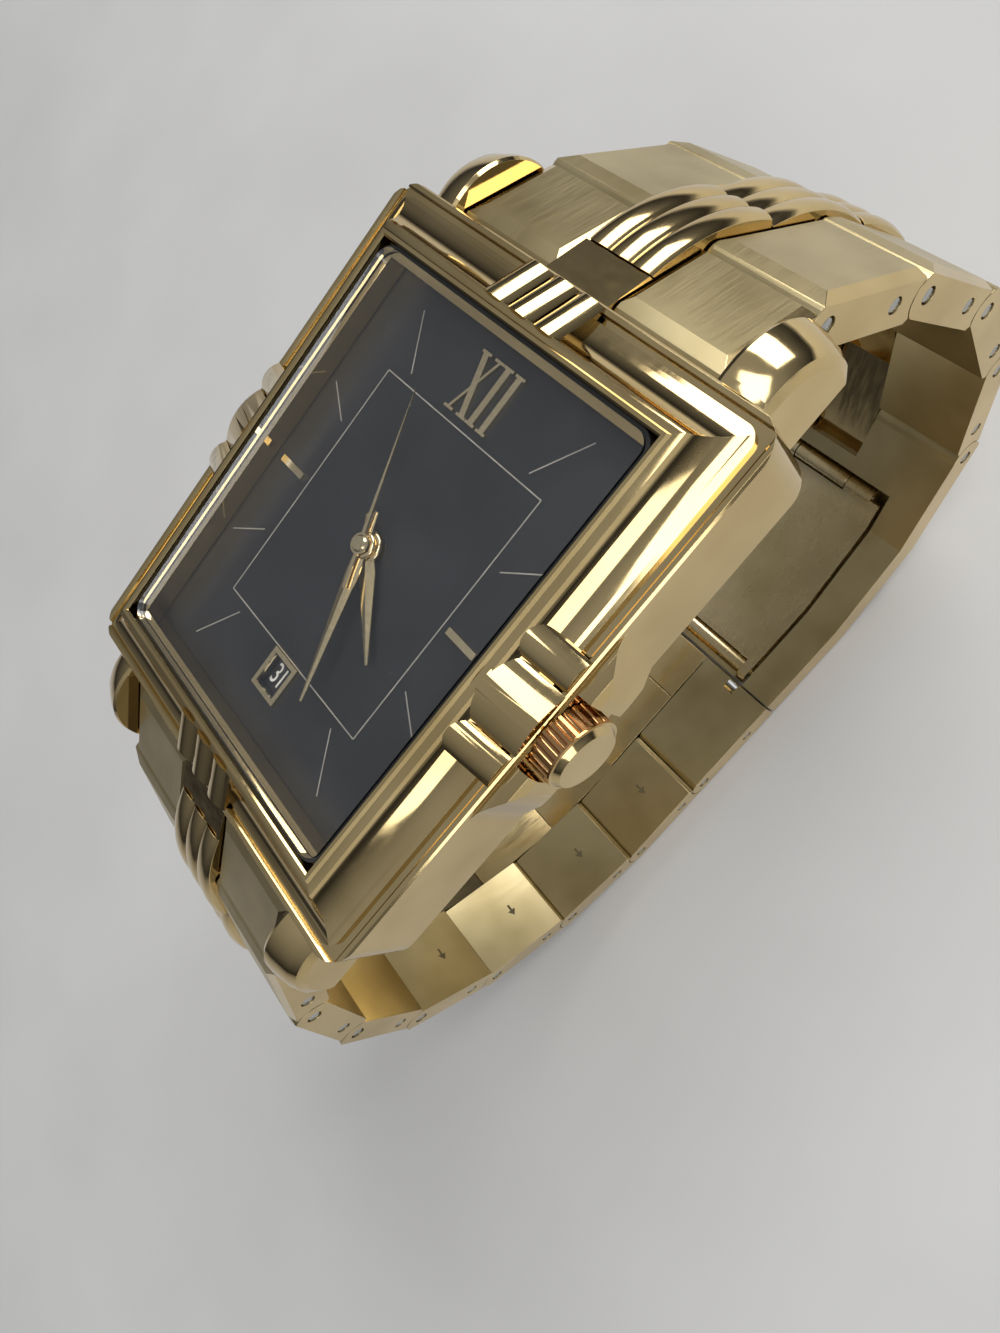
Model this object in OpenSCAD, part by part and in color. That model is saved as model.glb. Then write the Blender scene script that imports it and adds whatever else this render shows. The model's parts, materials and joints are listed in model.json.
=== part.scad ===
// Bracelet wristwatch with a square-cornered case, a quartz movement and a folding clasp.
// The dial faces up, 12 o'clock points along +Y and the crown along +X.
// The closed bracelet stands on its lowest rows, and the origin is the middle of the face they stand on.

/* [Case] */
// Width of the case without the crown
case_w = 30.4; // [29.6:0.1:32]
// Length of the case without the horns
case_l = 35.2; // [34.6:0.1:36]
// Radius of the case's four upright corners
case_corner_r = 2; // [1:0.1:2.6]
// Depth of the case below the dial's face
case_depth = 5; // [4.9:0.1:5.6]
// Height of the case's shoulder above the dial's face
shoulder_z = 0.3; // [0.2:0.05:0.5]
// Width of the raised lip along the case's edge
lip_w = 0.5; // [0.3:0.05:0.8]
// Height of the raised lip
lip_h = 0.25; // [0.15:0.05:0.4]
// How far the movement's hollow reaches under the bezel
under_bezel = 0.7; // [0.65:0.05:0.8]
// Thickness of the case back
back_t = 0.9; // [0.8:0.05:1.2]
// How far the case back stays inside the case's edge
back_inset = 0.8; // [0.6:0.05:1]

/* [Horns] */
// How far a horn reaches past the case
horn_reach = 5.5; // [5.2:0.1:5.6]
// Gap between a horn and the first row
horn_gap = 0.15; // [0.1:0.01:0.3]
// Radius of a horn's rounded top, seen from the side
horn_r = 4.7; // [4.4:0.1:4.9]
// Thickness of a horn across the wrist
horn_t = 2.8; // [2.2:0.1:3.2]

/* [Bezel and crystal] */
// Width of the groove between the bezel and the lip at 3 and 9
groove_w = 0.5; // [0.4:0.05:0.6]
// Width of the groove between the bezel and the lip at 12 and 6
groove_l = 0.35; // [0.25:0.05:0.45]
// Radius of the crystal's corners
crystal_r = 0.9; // [0.6:0.1:1.2]
// Thickness of the crystal
crystal_t = 1; // [0.9:0.05:1.2]
// Clear height between the dial and the crystal
glass_gap = 1.45; // [1.4:0.05:1.7]
// Thickness of the gasket round the crystal
gasket_t = 0.25; // [0.2:0.01:0.3]
// Width of the raised rim round the crystal
rim_w = 1.1; // [1:0.05:1.3]
// How far the rim stands above the crystal
rim_h = 0.2; // [0.1:0.02:0.3]
// Width of the bezel's sloping flank
flank_w = 2.1; // [1.8:0.05:2.2]
// Hollow of the flank below a straight slope
flank_sag = 0.35; // [0.1:0.05:0.5]
// Height of the flank's foot above the case's shoulder
flank_foot = 0.25; // [0.15:0.05:0.4]
// Width of one rib at 12 and 6
rib_w = 1.9; // [1.6:0.1:2.1]
// Half the length along the edge of the lobes at 3 and 9
lobe_half = 3.9; // [3.6:0.1:4.4]
// How far the guards stand out past the case
guard_out = 1.1; // [0.8:0.1:1.3]

/* [Dial and hands] */
// Thickness of the dial
dial_t = 0.4; // [0.3:0.05:0.45]
// Height of the applied markers
marker_h = 0.22; // [0.15:0.01:0.25]
// Height of the numeral at 12
numeral_l = 3.5; // [3:0.1:3.8]
// Distance of the numeral's middle from the crystal's edge
numeral_in = 3.05; // [2.8:0.05:3.3]
// Length of the bars at 3 and 9
bar_l = 2.3; // [2:0.1:2.6]
// Width of the bars at 3 and 9
bar_w = 0.42; // [0.3:0.02:0.6]
// Distance of the bars' middle from the crystal's edge
bar_in = 2.35; // [2.1:0.05:2.6]
// Distance of the date window from the hands
date_y = 9.5; // [9.3:0.05:9.7]
// Width of the date window's frame
date_w = 2.4; // [2.2:0.1:2.8]
// Length of the date window's frame
date_l = 2.7; // [2.4:0.1:2.9]
// Distance of the minute hand's tip from the crystal's edge at 3
minute_in = 1.6; // [1.2:0.1:2.4]
// Distance of the second hand's tip from the crystal's edge at 3
second_in = 1.8; // [1.2:0.1:2.4]
// Length of the hour hand as a share of the minute hand's
hour_share = 0.72; // [0.66:0.01:0.8]

/* [Crown] */
// Radius of the crown
crown_r = 2.2; // [2:0.05:2.3]
// Length of the crown
crown_l = 1.9; // [1.6:0.1:2.4]
// Depth of the crown's middle below the dial's face
crown_depth = 1.6; // [1.55:0.01:1.65]
// Number of grooves round the crown
crown_flutes = 26; // [20:1:30]

/* [Bracelet] */
// Distance between two hinges of the bracelet
pitch = 9.4; // [9.2:0.05:9.7]
// Distance between the first row's two hinges
first_pitch = 6.4; // [6.2:0.1:6.8]
// Distance of the first hinge from the case's end
first_out = 0.6; // [0.5:0.05:0.9]
// Fall of the first row, in degrees below the dial
first_slope = 31; // [28:1:34]
// Width of the bracelet
band_w = 20.5; // [20:0.1:21]
// Width of the centre links
centre_w = 5; // [4.6:0.1:5.4]
// Thickness of the outer links
link_t = 2.9; // [2.7:0.05:3.1]
// Drop of a centre link's rounded top towards its ends
centre_drop = 0.9; // [0.7:0.05:1.1]
// How far the first centre link stands above its outer links; the later ones sink to flush
centre_rise = 0.6; // [0.2:0.05:0.8]
// Clearance between links that turn on each other
link_gap = 0.1; // [0.08:0.01:0.14]
// Radius of the bracelet's pins
pin_r = 0.5; // [0.4:0.02:0.55]
// Reach of a centre link past the next hinge
tail_r = 4.3; // [4.2:0.05:4.4]
// How strongly the bends gather half way down each side
bend_gather = 0.35; // [0:0.05:0.5]

/* [Clasp] */
// Thickness of the folding blades
blade_t = 0.7; // [0.6:0.05:0.8]
// Clearance between the folded blades
blade_gap = 0.2; // [0.15:0.01:0.3]
// Half the width of the middle blade
middle_half = 5.6; // [5.4:0.1:6]
// Half the width of the inner blade
inner_half = 6.6; // [6.4:0.1:7]
// Radius of the clasp's hinge eyes
eye_r = 0.88; // [0.8:0.01:0.9]

/* [Hidden] */
$fn = 48;
top_rows = 5;
base_rows = 9;
cover_rows = 3;
flat_rows = 3;

// Sizes of the head that follow from the case
crystal_w = case_w - 2 * (lip_w + groove_w + flank_w + rim_w);
crystal_l = case_l - 2 * (lip_w + groove_l + flank_w + rim_w);
hollow_w = crystal_w + 2 * under_bezel;
hollow_l = crystal_l + 2 * under_bezel;
numeral_y = crystal_l / 2 - numeral_in;
bar_at = crystal_w / 2 - bar_in;
minute_len = crystal_w / 2 - minute_in;
second_len = crystal_w / 2 - second_in;
hour_len = hour_share * minute_len;

SIDES = ["12", "6"];
function rows_of(side) = side == "12" ? top_rows : base_rows;
GOLD = [0.80, 0.67, 0.38];
COPPER_GOLD = [0.78, 0.52, 0.32];
STEEL = [0.72, 0.72, 0.70];
BRASS = [0.78, 0.62, 0.30];
BLACK = [0.04, 0.04, 0.045];
PLASTIC = [0.80, 0.78, 0.72];

// The loop: each bracelet hinge is a corner of a polygon that is the same on both sides
knuckle_r = 1.5;
link_in = link_t - knuckle_r;
hinge_y = case_l / 2 + first_out;
hinge_depth = 2;
bends = 7;

function length_of(i) = i == 1 ? first_pitch : pitch;
function share(i) = (i - 2) / (bends - 1);
function slope(i, second) = i == 1
    ? first_slope
    : i > bends
        ? 180
        : second + (180 - second) * (share(i) - bend_gather * sin(360 * share(i)) / (2 * PI));
function reach(second, i = 1) = i > bends ? 0 : length_of(i) * cos(slope(i, second)) + reach(second, i + 1);
function miss(second) = hinge_y + reach(second) - pitch * flat_rows / 2;
function solve(low, high, step = 0) = step > 40
    ? (low + high) / 2
    : miss((low + high) / 2) > 0
        ? solve((low + high) / 2, high, step + 1)
        : solve(low, (low + high) / 2, step + 1);
second_slope = solve(0, 90);
function down(i) = slope(i, second_slope);
function fall(i, k = 1) = k >= i ? 0 : length_of(k) * sin(down(k)) + fall(i, k + 1);
function run(i, k = 1) = k >= i ? 0 : length_of(k) * cos(down(k)) + run(i, k + 1);
head_z = knuckle_r + fall(bends + 2) + hinge_depth;
function hinge(i) = [hinge_y + run(i), head_z - hinge_depth - fall(i)];
function ahead(i) = [cos(down(i)), -sin(down(i))];
function outward(i) = [sin(down(i)), cos(down(i))];
function at(i, s, n) = hinge(i) + s * ahead(i) + n * outward(i);
function corner(i, n) = hinge(i) + n * (outward(i - 1) + outward(i)) / (1 + outward(i - 1) * outward(i));

module on_side(side) {
    rotate([0, 0, side == "12" ? 0 : 180])
        children();
}

module on_row(i) {
    translate([0, hinge(i)[0], hinge(i)[1]])
        rotate([-down(i), 0, 0])
            children();
}

module across(w) {
    rotate([90, 0, 90])
        linear_extrude(w, center = true)
            children();
}

module lengthwise(from, to) {
    translate([0, to, 0])
        rotate([90, 0, 0])
            linear_extrude(to - from)
                children();
}

module bar_x(r, x0, x1) {
    translate([x0, 0, 0])
        rotate([0, 90, 0])
            cylinder(r = r, h = x1 - x0);
}

// Bracelet rows: origin on the row's own hinge, +Y towards the next row, +Z outwards
pin_fit = 0.01;
pin_play = 0.05;
centre_half = centre_w / 2;
outer_inner = centre_half + link_gap;
band_half = band_w / 2;
chamfer_out = 0.8;
chamfer_in = 0.4;
chamfer_drop = 0.35;
chamfer_end = 0.3;
slot_half = 1;
end_gap = 0.1;
lug_r = 2.2;

function front_r(i) = (i == 1 ? lug_r : tail_r) + link_gap;
function pin_s(i) = (front_r(i) + length_of(i) - knuckle_r - link_gap) / 2;

module link_section() {
    polygon([
        [outer_inner, -link_in], [band_half, -link_in], [band_half, knuckle_r - chamfer_drop],
        [band_half - chamfer_out, knuckle_r], [outer_inner + chamfer_in, knuckle_r],
        [outer_inner, knuckle_r - chamfer_in / 2]
    ]);
}

// The leading end is round about its own hinge, with a facet planed on top
module link_side(i, last) {
    facet = 38;
    end = last ? length_of(i) - end_gap : length_of(i);
    relief = last ? 0 : knuckle_r;
    top_end = last ? end : end - slot_half;
    difference() {
        union() {
            intersection() {
                circle(r = knuckle_r);
                rotate(facet / 2)
                    translate([-2 * knuckle_r, -3 * knuckle_r])
                        square([4 * knuckle_r, 3 * knuckle_r + knuckle_r * cos(facet / 2)]);
            }
            polygon([
                [0, -link_in], [end - relief, -link_in], [end - relief / 2, -link_in / 2],
                [top_end, knuckle_r - chamfer_end], [top_end - chamfer_end, knuckle_r], [0, knuckle_r]
            ]);
        }
        if (!last)
            translate([end, 0])
                circle(r = knuckle_r + link_gap);
    }
}

module outer_link(i, last) {
    difference() {
        intersection() {
            across(2 * band_w)
                link_side(i, last);
            lengthwise(-pitch, 2 * pitch)
                link_section();
        }
        bar_x(pin_r + pin_play, 0, band_w);
        translate([0, pin_s(i), 0])
            bar_x(pin_r + pin_fit, 0, band_w);
        if (last) {
            translate([arm_from, pitch - 3 * eye_pin_r, -2 * link_t])
                cube([inner_half - arm_from + 2 * link_gap, pitch, 2 * link_t - eye_pin_r / 2]);
            translate([0, pitch - end_gap - eye_pin_r, blade_mid_n])
                bar_x(eye_pin_r + pin_fit, 0, band_half - 2 * chamfer_out);
        }
    }
}

module outer_pair(side, i) {
    last = is_last(side, i);
    color(GOLD)
        on_side(side)
            on_row(i)
                for (flip = [0, 1])
                    mirror([flip, 0, 0])
                        outer_link(i, last);
}

// A centre link lies half a pitch behind its outer pair, and its tail turns between the next pair.
// It leans by half the bend that follows it, as a link on two pins does, about the next hinge.
ridge_groove = 0.22;
centre_sink = 0.12;
centre_top_r = (pow(pitch / 2, 2) + pow(centre_drop, 2)) / (2 * centre_drop);

function is_last(side, i) = side == "6" && i == base_rows;
function lean(i) = (down(i + 1) - down(i)) / 2;
function crest(i) = knuckle_r + centre_rise - (centre_rise + centre_sink) * min(1, (i - 1) / (bends - 1));
function centre_mid(i) = (front_r(i) + length_of(i) + tail_r) / 2;

module leaning(i) {
    translate([0, length_of(i), 0])
        rotate([-lean(i), 0, 0])
            translate([0, -length_of(i), 0])
                children();
}

module centre_side(i, last) {
    top = last ? knuckle_r : crest(i);
    difference() {
        intersection() {
            translate([length_of(i), 0])
                rotate(-lean(i))
                    translate([-length_of(i), -link_in])
                        square([2 * pitch, link_in + top]);
            if (last)
                square([2 * (pitch - end_gap), 4 * link_t], center = true);
            if (!last)
                union() {
                    square([2 * length_of(i), 4 * link_t], center = true);
                    translate([length_of(i), 0])
                        circle(r = tail_r);
                }
            if (!last)
                translate([length_of(i), 0])
                    rotate(-lean(i))
                        translate([centre_mid(i) - length_of(i), top - centre_top_r])
                            circle(r = centre_top_r, $fn = 160);
        }
        circle(r = front_r(i));
    }
}

// The two grooves that part a centre link's three ridges
module ridge_cuts(i, last) {
    for (x = [-1, 1] * centre_w / 6) {
        if (last)
            translate([x, pitch, knuckle_r])
                rotate([0, 45, 0])
                    cube([ridge_groove, 3 * pitch, ridge_groove], center = true);
        if (!last)
            leaning(i)
                translate([x, centre_mid(i), crest(i) - centre_top_r])
                    rotate([0, 90, 0])
                        rotate_extrude($fn = 160)
                            polygon([
                                [centre_top_r - ridge_groove, 0],
                                [centre_top_r + ridge_groove, ridge_groove],
                                [centre_top_r + ridge_groove, -ridge_groove]
                            ]);
    }
}

module centre_link(side, i) {
    last = is_last(side, i);
    far_s = last ? pitch - end_gap - eye_pin_r : length_of(i);
    far_n = last ? blade_mid_n : 0;
    far_r = last ? eye_pin_r : pin_r;
    far_half = last ? inner_half + pin_r : band_half - pin_play;
    on_side(side)
        on_row(i) {
            color(GOLD)
                difference() {
                    across(centre_w)
                        centre_side(i, last);
                    ridge_cuts(i, last);
                    translate([0, pin_s(i), 0])
                        bar_x(pin_r + pin_fit, -centre_w, centre_w);
                    translate([0, far_s, far_n])
                        bar_x(far_r + pin_fit, -centre_w, centre_w);
                }
            color(STEEL) {
                if (i == 1)
                    bar_x(pin_r, -case_pin_half, case_pin_half);
                translate([0, pin_s(i), 0])
                    bar_x(pin_r, -band_half + pin_play, band_half - pin_play);
                translate([0, far_s, far_n])
                    bar_x(far_r, -far_half, far_half);
            }
        }
}

// Clasp: the cover follows three rows, and two blades fold flat inside it
cover_first = top_rows + 1;
cover_last = top_rows + cover_rows;
plate_t = 1;
plate_n = knuckle_r - plate_t;
middle_top = plate_n - blade_gap;
blade_top = middle_top - blade_t - blade_gap;
blade_mid_n = blade_top - blade_t / 2;
eye_pin_r = 0.4;
eye_s = tail_r + 2.6;
eye_n = plate_n - link_gap - eye_r;
free_s = pitch - knuckle_r;
arm_from = middle_half + link_gap;
cheek_from = inner_half + 0.4;
eye_half = middle_half / 2;
groove_lift = 0.01;

module strip(low, high, from, to) {
    lanes = [for (n = [low, high]) [
        at(cover_first, from, n), corner(cover_first + 1, n), corner(cover_last, n), at(cover_last, to, n)
    ]];
    polygon(concat(lanes[0], [for (k = [3 : -1 : 0]) lanes[1][k]]));
}

module on_point(p) {
    translate([0, p[0], p[1]])
        children();
}

module clasp_cover() {
    hollow_from = eye_s - eye_r - 0.5;
    past = 2 * pitch;
    color(GOLD)
        difference() {
            across(band_w)
                union() {
                    strip(-link_in, knuckle_r, 0, pitch - end_gap);
                    translate(hinge(cover_first))
                        circle(r = knuckle_r);
                }
            across(2 * cheek_from)
                strip(-2 * link_t, plate_n, hollow_from, past);
            on_point(hinge(cover_first)) {
                bar_x(tail_r + link_gap, -outer_inner, outer_inner);
                bar_x(pin_r + pin_play, -band_w, band_w);
            }
            on_point(at(cover_last, free_s, 0)) {
                bar_x(eye_r + link_gap, -cheek_from, cheek_from);
                bar_x(eye_pin_r + pin_fit, -cheek_from - 1, cheek_from + 1);
            }
            for (side = [-1, 1])
                on_row(cover_last)
                    translate([side * (arm_from + inner_half) / 2, free_s + pitch / 2, 0])
                        cube([inner_half - arm_from + 2 * link_gap, pitch, 2 * link_t], center = true);
            for (i = [cover_first : cover_last], side = [-1, 1])
                on_row(i) {
                    translate([side * band_half, 0, knuckle_r - chamfer_drop])
                        rotate([0, side * atan(chamfer_drop / chamfer_out), 0])
                            translate([-band_half, -pitch, 0])
                                cube([band_w, 3 * pitch, link_t]);
                    translate([side * centre_half, 0, knuckle_r + groove_lift])
                        rotate([0, 45, 0])
                            cube([ridge_groove, 3 * pitch, ridge_groove], center = true);
                }
            for (i = [cover_first + 1 : cover_last])
                on_point(corner(i, knuckle_r))
                    rotate([45, 0, 0])
                        cube([band_w * 2, 2 * ridge_groove, 2 * ridge_groove], center = true);
        }
    color(STEEL)
        on_point(at(cover_last, free_s, 0))
            bar_x(eye_pin_r, -cheek_from - 0.9, cheek_from + 0.9);
}

module middle_blade() {
    joint = at(cover_first, eye_s, eye_n);
    color(GOLD)
        difference() {
            union() {
                across(2 * middle_half)
                    strip(middle_top - blade_t, middle_top, eye_s, free_s);
                on_point(joint)
                    bar_x(eye_r, -eye_half, eye_half);
                on_point(at(cover_last, free_s, 0))
                    bar_x(eye_r, -middle_half, middle_half);
            }
            on_point(at(cover_last, free_s, 0))
                bar_x(eye_pin_r + pin_play, -band_w, band_w);
            on_point(joint) {
                bar_x(eye_pin_r + pin_fit, -band_w, band_w);
                for (flip = [0, 1])
                    mirror([flip, 0, 0])
                        bar_x(eye_r + link_gap, eye_half, band_w);
            }
        }
    color(STEEL)
        on_point(joint)
            bar_x(eye_pin_r, -middle_half, middle_half);
}

module inner_blade() {
    joint = at(cover_first, eye_s, eye_n);
    color(GOLD)
        difference() {
            union() {
                across(2 * inner_half)
                    strip(blade_top - blade_t, blade_top, eye_s, pitch + end_gap);
                for (flip = [0, 1])
                    mirror([flip, 0, 0])
                        on_point(joint)
                            bar_x(eye_r, eye_half + link_gap, middle_half);
            }
            on_point(joint) {
                bar_x(eye_pin_r + pin_play, -band_w, band_w);
                bar_x(eye_r + link_gap, -eye_half - link_gap, eye_half + link_gap);
            }
            on_row(cover_last)
                {
                    translate([-arm_from, free_s - eye_r - 4 * link_gap, -3 * link_t])
                        cube([2 * arm_from, pitch, 4 * link_t]);
                    translate([0, free_s, 0])
                        difference() {
                            translate([-band_half, 0, -2 * link_t])
                                cube([band_w, pitch, 4 * link_t]);
                            bar_x(knuckle_r - end_gap, -band_w, band_w);
                        }
                }
        }
}

// Head: everything below is drawn with the dial's face at height 0 and lifted by in_head
half_w = case_w / 2;
half_l = case_l / 2;
glass_w = crystal_w / 2;
glass_l = crystal_l / 2;
glass_top = glass_gap + crystal_t;
rim_top = glass_top + rim_h;
step_w = rim_w * 0.4;
flank_top = rim_top - 0.35;
foot_u = rim_w + flank_w;
foot_z = shoulder_z + flank_foot;
lip_top = shoulder_z + lip_h;
hollow_u = hollow_w / 2 - glass_w;
fit_gap = 0.05;

module in_head() {
    translate([0, 0, head_z])
        children();
}

module rounded(w, l, r) {
    translate([-w / 2 + r, -l / 2 + r])
        square([w - 2 * r, l - 2 * r]);
    translate([-w / 2, -l / 2 + r])
        square([w, l - 2 * r]);
    translate([-w / 2 + r, -l / 2])
        square([w - 2 * r, l]);
    for (x = [-1, 1], y = [-1, 1])
        translate([x * (w / 2 - r), y * (l / 2 - r)])
            circle(r = r);
}

module slab(w, l, r, low, high) {
    translate([0, 0, low])
        linear_extrude(high - low)
            rounded(w, l, r);
}

// A rectangular frame of one profile, mitred at its four corners
module framed(w, l, back, out) {
    for (turn = [0 : 3]) {
        side = turn % 2 == 0 ? [w, l] : [l, w];
        rotate([0, 0, 90 * turn])
            intersection() {
                translate([side[0], 0, 0])
                    rotate([90, 0, 0])
                        linear_extrude(2 * (side[1] + out), center = true)
                            children();
                linear_extrude(40, center = true)
                    polygon([
                        [side[0] - back, back - side[1]], [side[0] + out, -side[1] - out],
                        [side[0] + out, side[1] + out], [side[0] - back, side[1] - back]
                    ]);
            }
    }
}

// Horns and the middle lug take the place of the row before the first one
horn_in = band_half + horn_gap;
horn_out = horn_in + horn_t;
horn_top = 0.4;
case_pin_half = horn_out - 1;
lug_fall = 26;
root = 1.6;

// A horn is turned about a line across the wrist, and its ridge lies towards its outer side
module horn() {
    middle = [half_l + horn_reach - horn_r, horn_top - horn_r];
    edge = 0.12;
    intersection() {
        translate([0, middle[0], middle[1]])
            rotate([0, 90, 0])
                rotate_extrude($fn = 120)
                    polygon([
                        [0, horn_in], [horn_r - edge, horn_in], [horn_r, horn_in + 2 * edge],
                        [horn_r - 0.08, horn_in + 0.8], [horn_r - 0.45, horn_out - 0.8],
                        [horn_r - 0.75, horn_out - 0.3], [horn_r - 1.3, horn_out], [0, horn_out]
                    ]);
        translate([horn_out / 2 + horn_in / 2, 0, 0])
            across(horn_t)
                polygon([
                    [half_l - root, 0], [half_l - 0.3, 0], [half_l - 0.3, case_depth],
                    [half_l + 2 * horn_r, case_depth], [half_l + horn_reach, -3.6],
                    [half_l + horn_reach - 1.4, -case_depth], [half_l - root, -case_depth]
                ]);
    }
}

module lug() {
    across(centre_w)
        intersection() {
            translate([hinge_y, -hinge_depth])
                rotate(-lug_fall)
                    intersection() {
                        translate([-2 * lug_r, -link_in])
                            square([3 * lug_r, link_t]);
                        union() {
                            circle(r = lug_r);
                            translate([-2 * lug_r, -link_t])
                                square([2 * lug_r, 2 * link_t]);
                        }
                    }
            polygon([
                [half_l - root, -case_depth], [2 * half_l, -case_depth], [2 * half_l, case_depth],
                [half_l, case_depth], [half_l, 0], [half_l - root, 0]
            ]);
        }
}

// A guard swells out of the case's side to its full width beside the crown
guard_half = 6.2;
guard_full = 3;
guard_top = 0.12;
guard_low = 4.4;
guard_steps = 12;

function swell(t) = [
    half_w + guard_out * (0.5 + 0.5 * cos(180 * t)),
    guard_full + (guard_half - guard_full) * t
];

module guard() {
    full = half_w + guard_out;
    intersection() {
        translate([0, 0, -case_depth])
            linear_extrude(2 * case_depth)
                polygon(concat(
                    [[half_w - 1, guard_half]],
                    [for (k = [guard_steps : -1 : 0]) swell(k / guard_steps)],
                    [for (k = [0 : guard_steps]) [swell(k / guard_steps)[0], -swell(k / guard_steps)[1]]],
                    [[half_w - 1, -guard_half]]
                ));
        lengthwise(-guard_half, guard_half)
            polygon([
                [half_w - 1, guard_top], [full - 0.8, guard_top], [full - 0.25, guard_top - 0.3],
                [full, guard_top - 0.9], [full, -guard_low + 1], [full - 0.3, -guard_low + 0.4],
                [full - 0.9, -guard_low], [half_w - 1, -guard_low]
            ]);
    }
}

tube_r = 1;
stem_r = 0.42;
screw_x = (hollow_w / 2 + half_w) / 2 - 0.25;
screw_y = (hollow_l / 2 + half_l) / 2 - 0.25;
screw_r = 0.5;
gasket_u = 0.25;
gasket_w = 0.5;
gasket_deep = 0.3;

module case_body() {
    lip_r = 0.12;
    color(GOLD)
        in_head()
            difference() {
                union() {
                    difference() {
                        slab(case_w, case_l, case_corner_r, -case_depth, shoulder_z);
                        for (side = SIDES)
                            on_side(side)
                                translate([0, hinge_y, -hinge_depth])
                                    bar_x(knuckle_r + link_gap, -horn_in, horn_in);
                    }
                    intersection() {
                        slab(case_w, case_l, case_corner_r, -case_depth, lip_top);
                        framed(half_w, half_l, lip_w, 1)
                            polygon([
                                [-lip_w, 0], [-lip_w, lip_top - lip_r], [-lip_w + lip_r, lip_top],
                                [-lip_r, lip_top], [0, lip_top - lip_r], [0, 0]
                            ]);
                    }
                    for (flip = [0, 1])
                        mirror([flip, 0, 0])
                            guard();
                    for (side = SIDES)
                        on_side(side) {
                            lug();
                            for (flip = [0, 1])
                                mirror([flip, 0, 0])
                                    horn();
                        }
                }
                slab(hollow_w, hollow_l, crystal_r, -2 * case_depth, case_depth);
                translate([0, 0, -crown_depth])
                    bar_x(tube_r + pin_fit, 0, 2 * half_w);
                translate([half_w + 0.1, -crown_r - 0.15, -2 * case_depth])
                    cube([5, 2 * crown_r + 0.3, 4 * case_depth]);
                for (side = SIDES)
                    on_side(side)
                        translate([0, hinge_y, -hinge_depth])
                            bar_x(pin_r + pin_play, -case_pin_half - fit_gap, case_pin_half + fit_gap);
                for (x = [-1, 1], y = [-1, 1])
                    translate([x * screw_x, y * screw_y, -case_depth - 1])
                        cylinder(r = screw_r + pin_fit, h = 3);
                translate([0, 0, -case_depth])
                    linear_extrude(2 * gasket_deep, center = true)
                        gasket_shape(fit_gap);
            }
}

module gasket_shape(more) {
    outer_u = gasket_u + gasket_w;
    difference() {
        rounded(hollow_w + 2 * (outer_u + more), hollow_l + 2 * (outer_u + more), crystal_r);
        rounded(hollow_w + 2 * (gasket_u - more), hollow_l + 2 * (gasket_u - more), crystal_r);
    }
}

// Bezel: x of the profile counts from the crystal's edge outwards
flank_steps = 12;
rib_root = 0.1;

function flank(t) = [
    rim_w + flank_w * t - flank_sag * 4 * t * (1 - t) * 0.65,
    flank_top + (foot_z - flank_top) * t - flank_sag * 4 * t * (1 - t) * 0.75
];

module bezel_profile() {
    polygon(concat(
        [
            [-0.4, fit_gap], [hollow_u - fit_gap, fit_gap], [hollow_u - fit_gap, shoulder_z],
            [foot_u, shoulder_z]
        ],
        [for (k = [flank_steps : -1 : 0]) flank(k / flank_steps)],
        [
            [rim_w - step_w, flank_top + 0.12], [rim_w - step_w - 0.1, rim_top], [gasket_t + 0.1, rim_top],
            [gasket_t, rim_top - 0.1], [gasket_t, glass_gap], [-0.4, glass_gap - 0.1]
        ]
    ));
}

// A rounded rib that runs down the flank from the rim's foot over the lip
module rib(start, end, w, rise, below_rim) {
    r = (pow(w / 2, 2) + pow(rise, 2)) / (2 * rise);
    top = flank_top - below_rim;
    drop = top - lip_top;
    lean = atan(drop / (end - start));
    intersection() {
        translate([start, 0, top])
            rotate([0, lean, 0])
                translate([0, 0, rise - r])
                    rotate([0, 90, 0])
                        cylinder(r = r, h = 4 * (end - start), center = true, $fn = 64);
        translate([start - rib_root, -w / 2, lip_top + 0.02])
            cube([end - start + rib_root, w, case_depth]);
    }
}

module bezel() {
    rib_rise = 0.45;
    lobe_rise = 0.42;
    color(GOLD)
        in_head()
            difference() {
                union() {
                    intersection() {
                        framed(glass_w, glass_l, 2, foot_u + 1)
                            bezel_profile();
                        slab(2 * (glass_w + foot_u), 2 * (glass_l + foot_u), crystal_r, -1, 5);
                    }
                    for (turn = [90, 270], k = [-1 : 1])
                        rotate([0, 0, turn])
                            translate([0, k * (rib_w + 0.15), 0])
                                rib(glass_l + rim_w + 0.05, half_l - 0.15, rib_w, rib_rise, 0.25);
                    for (turn = [0, 180])
                        rotate([0, 0, turn]) {
                            rib(glass_w + rim_w, half_w - 0.05, lobe_half, lobe_rise + 0.1, 0.5);
                            for (side = [-1, 1])
                                translate([0, side * lobe_half * 0.78, 0])
                                    rib(glass_w + rim_w, half_w - 0.15, lobe_half * 0.5, lobe_rise, 0.5);
                        }
                }
                slab(
                    2 * (glass_w + gasket_t), 2 * (glass_l + gasket_t), crystal_r + gasket_t,
                    glass_gap, case_depth
                );
            }
}

module crystal() {
    color([0.85, 0.9, 0.95, 0.35])
        in_head()
            slab(crystal_w, crystal_l, crystal_r, glass_gap + fit_gap, glass_top);
}

module crystal_gasket() {
    color(BLACK)
        in_head()
            difference() {
                slab(
                    crystal_w + 2 * gasket_t - 0.02, crystal_l + 2 * gasket_t - 0.02, crystal_r + gasket_t,
                    glass_gap + fit_gap, glass_top - 0.2
                );
                slab(crystal_w + 0.02, crystal_l + 0.02, crystal_r, 0, 2 * glass_top);
            }
}

// Dial, markers and hands
hour_tube_r = 0.78;
cannon_r = 0.52;
arbor_r = 0.25;
hole_gap = 0.04;

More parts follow.
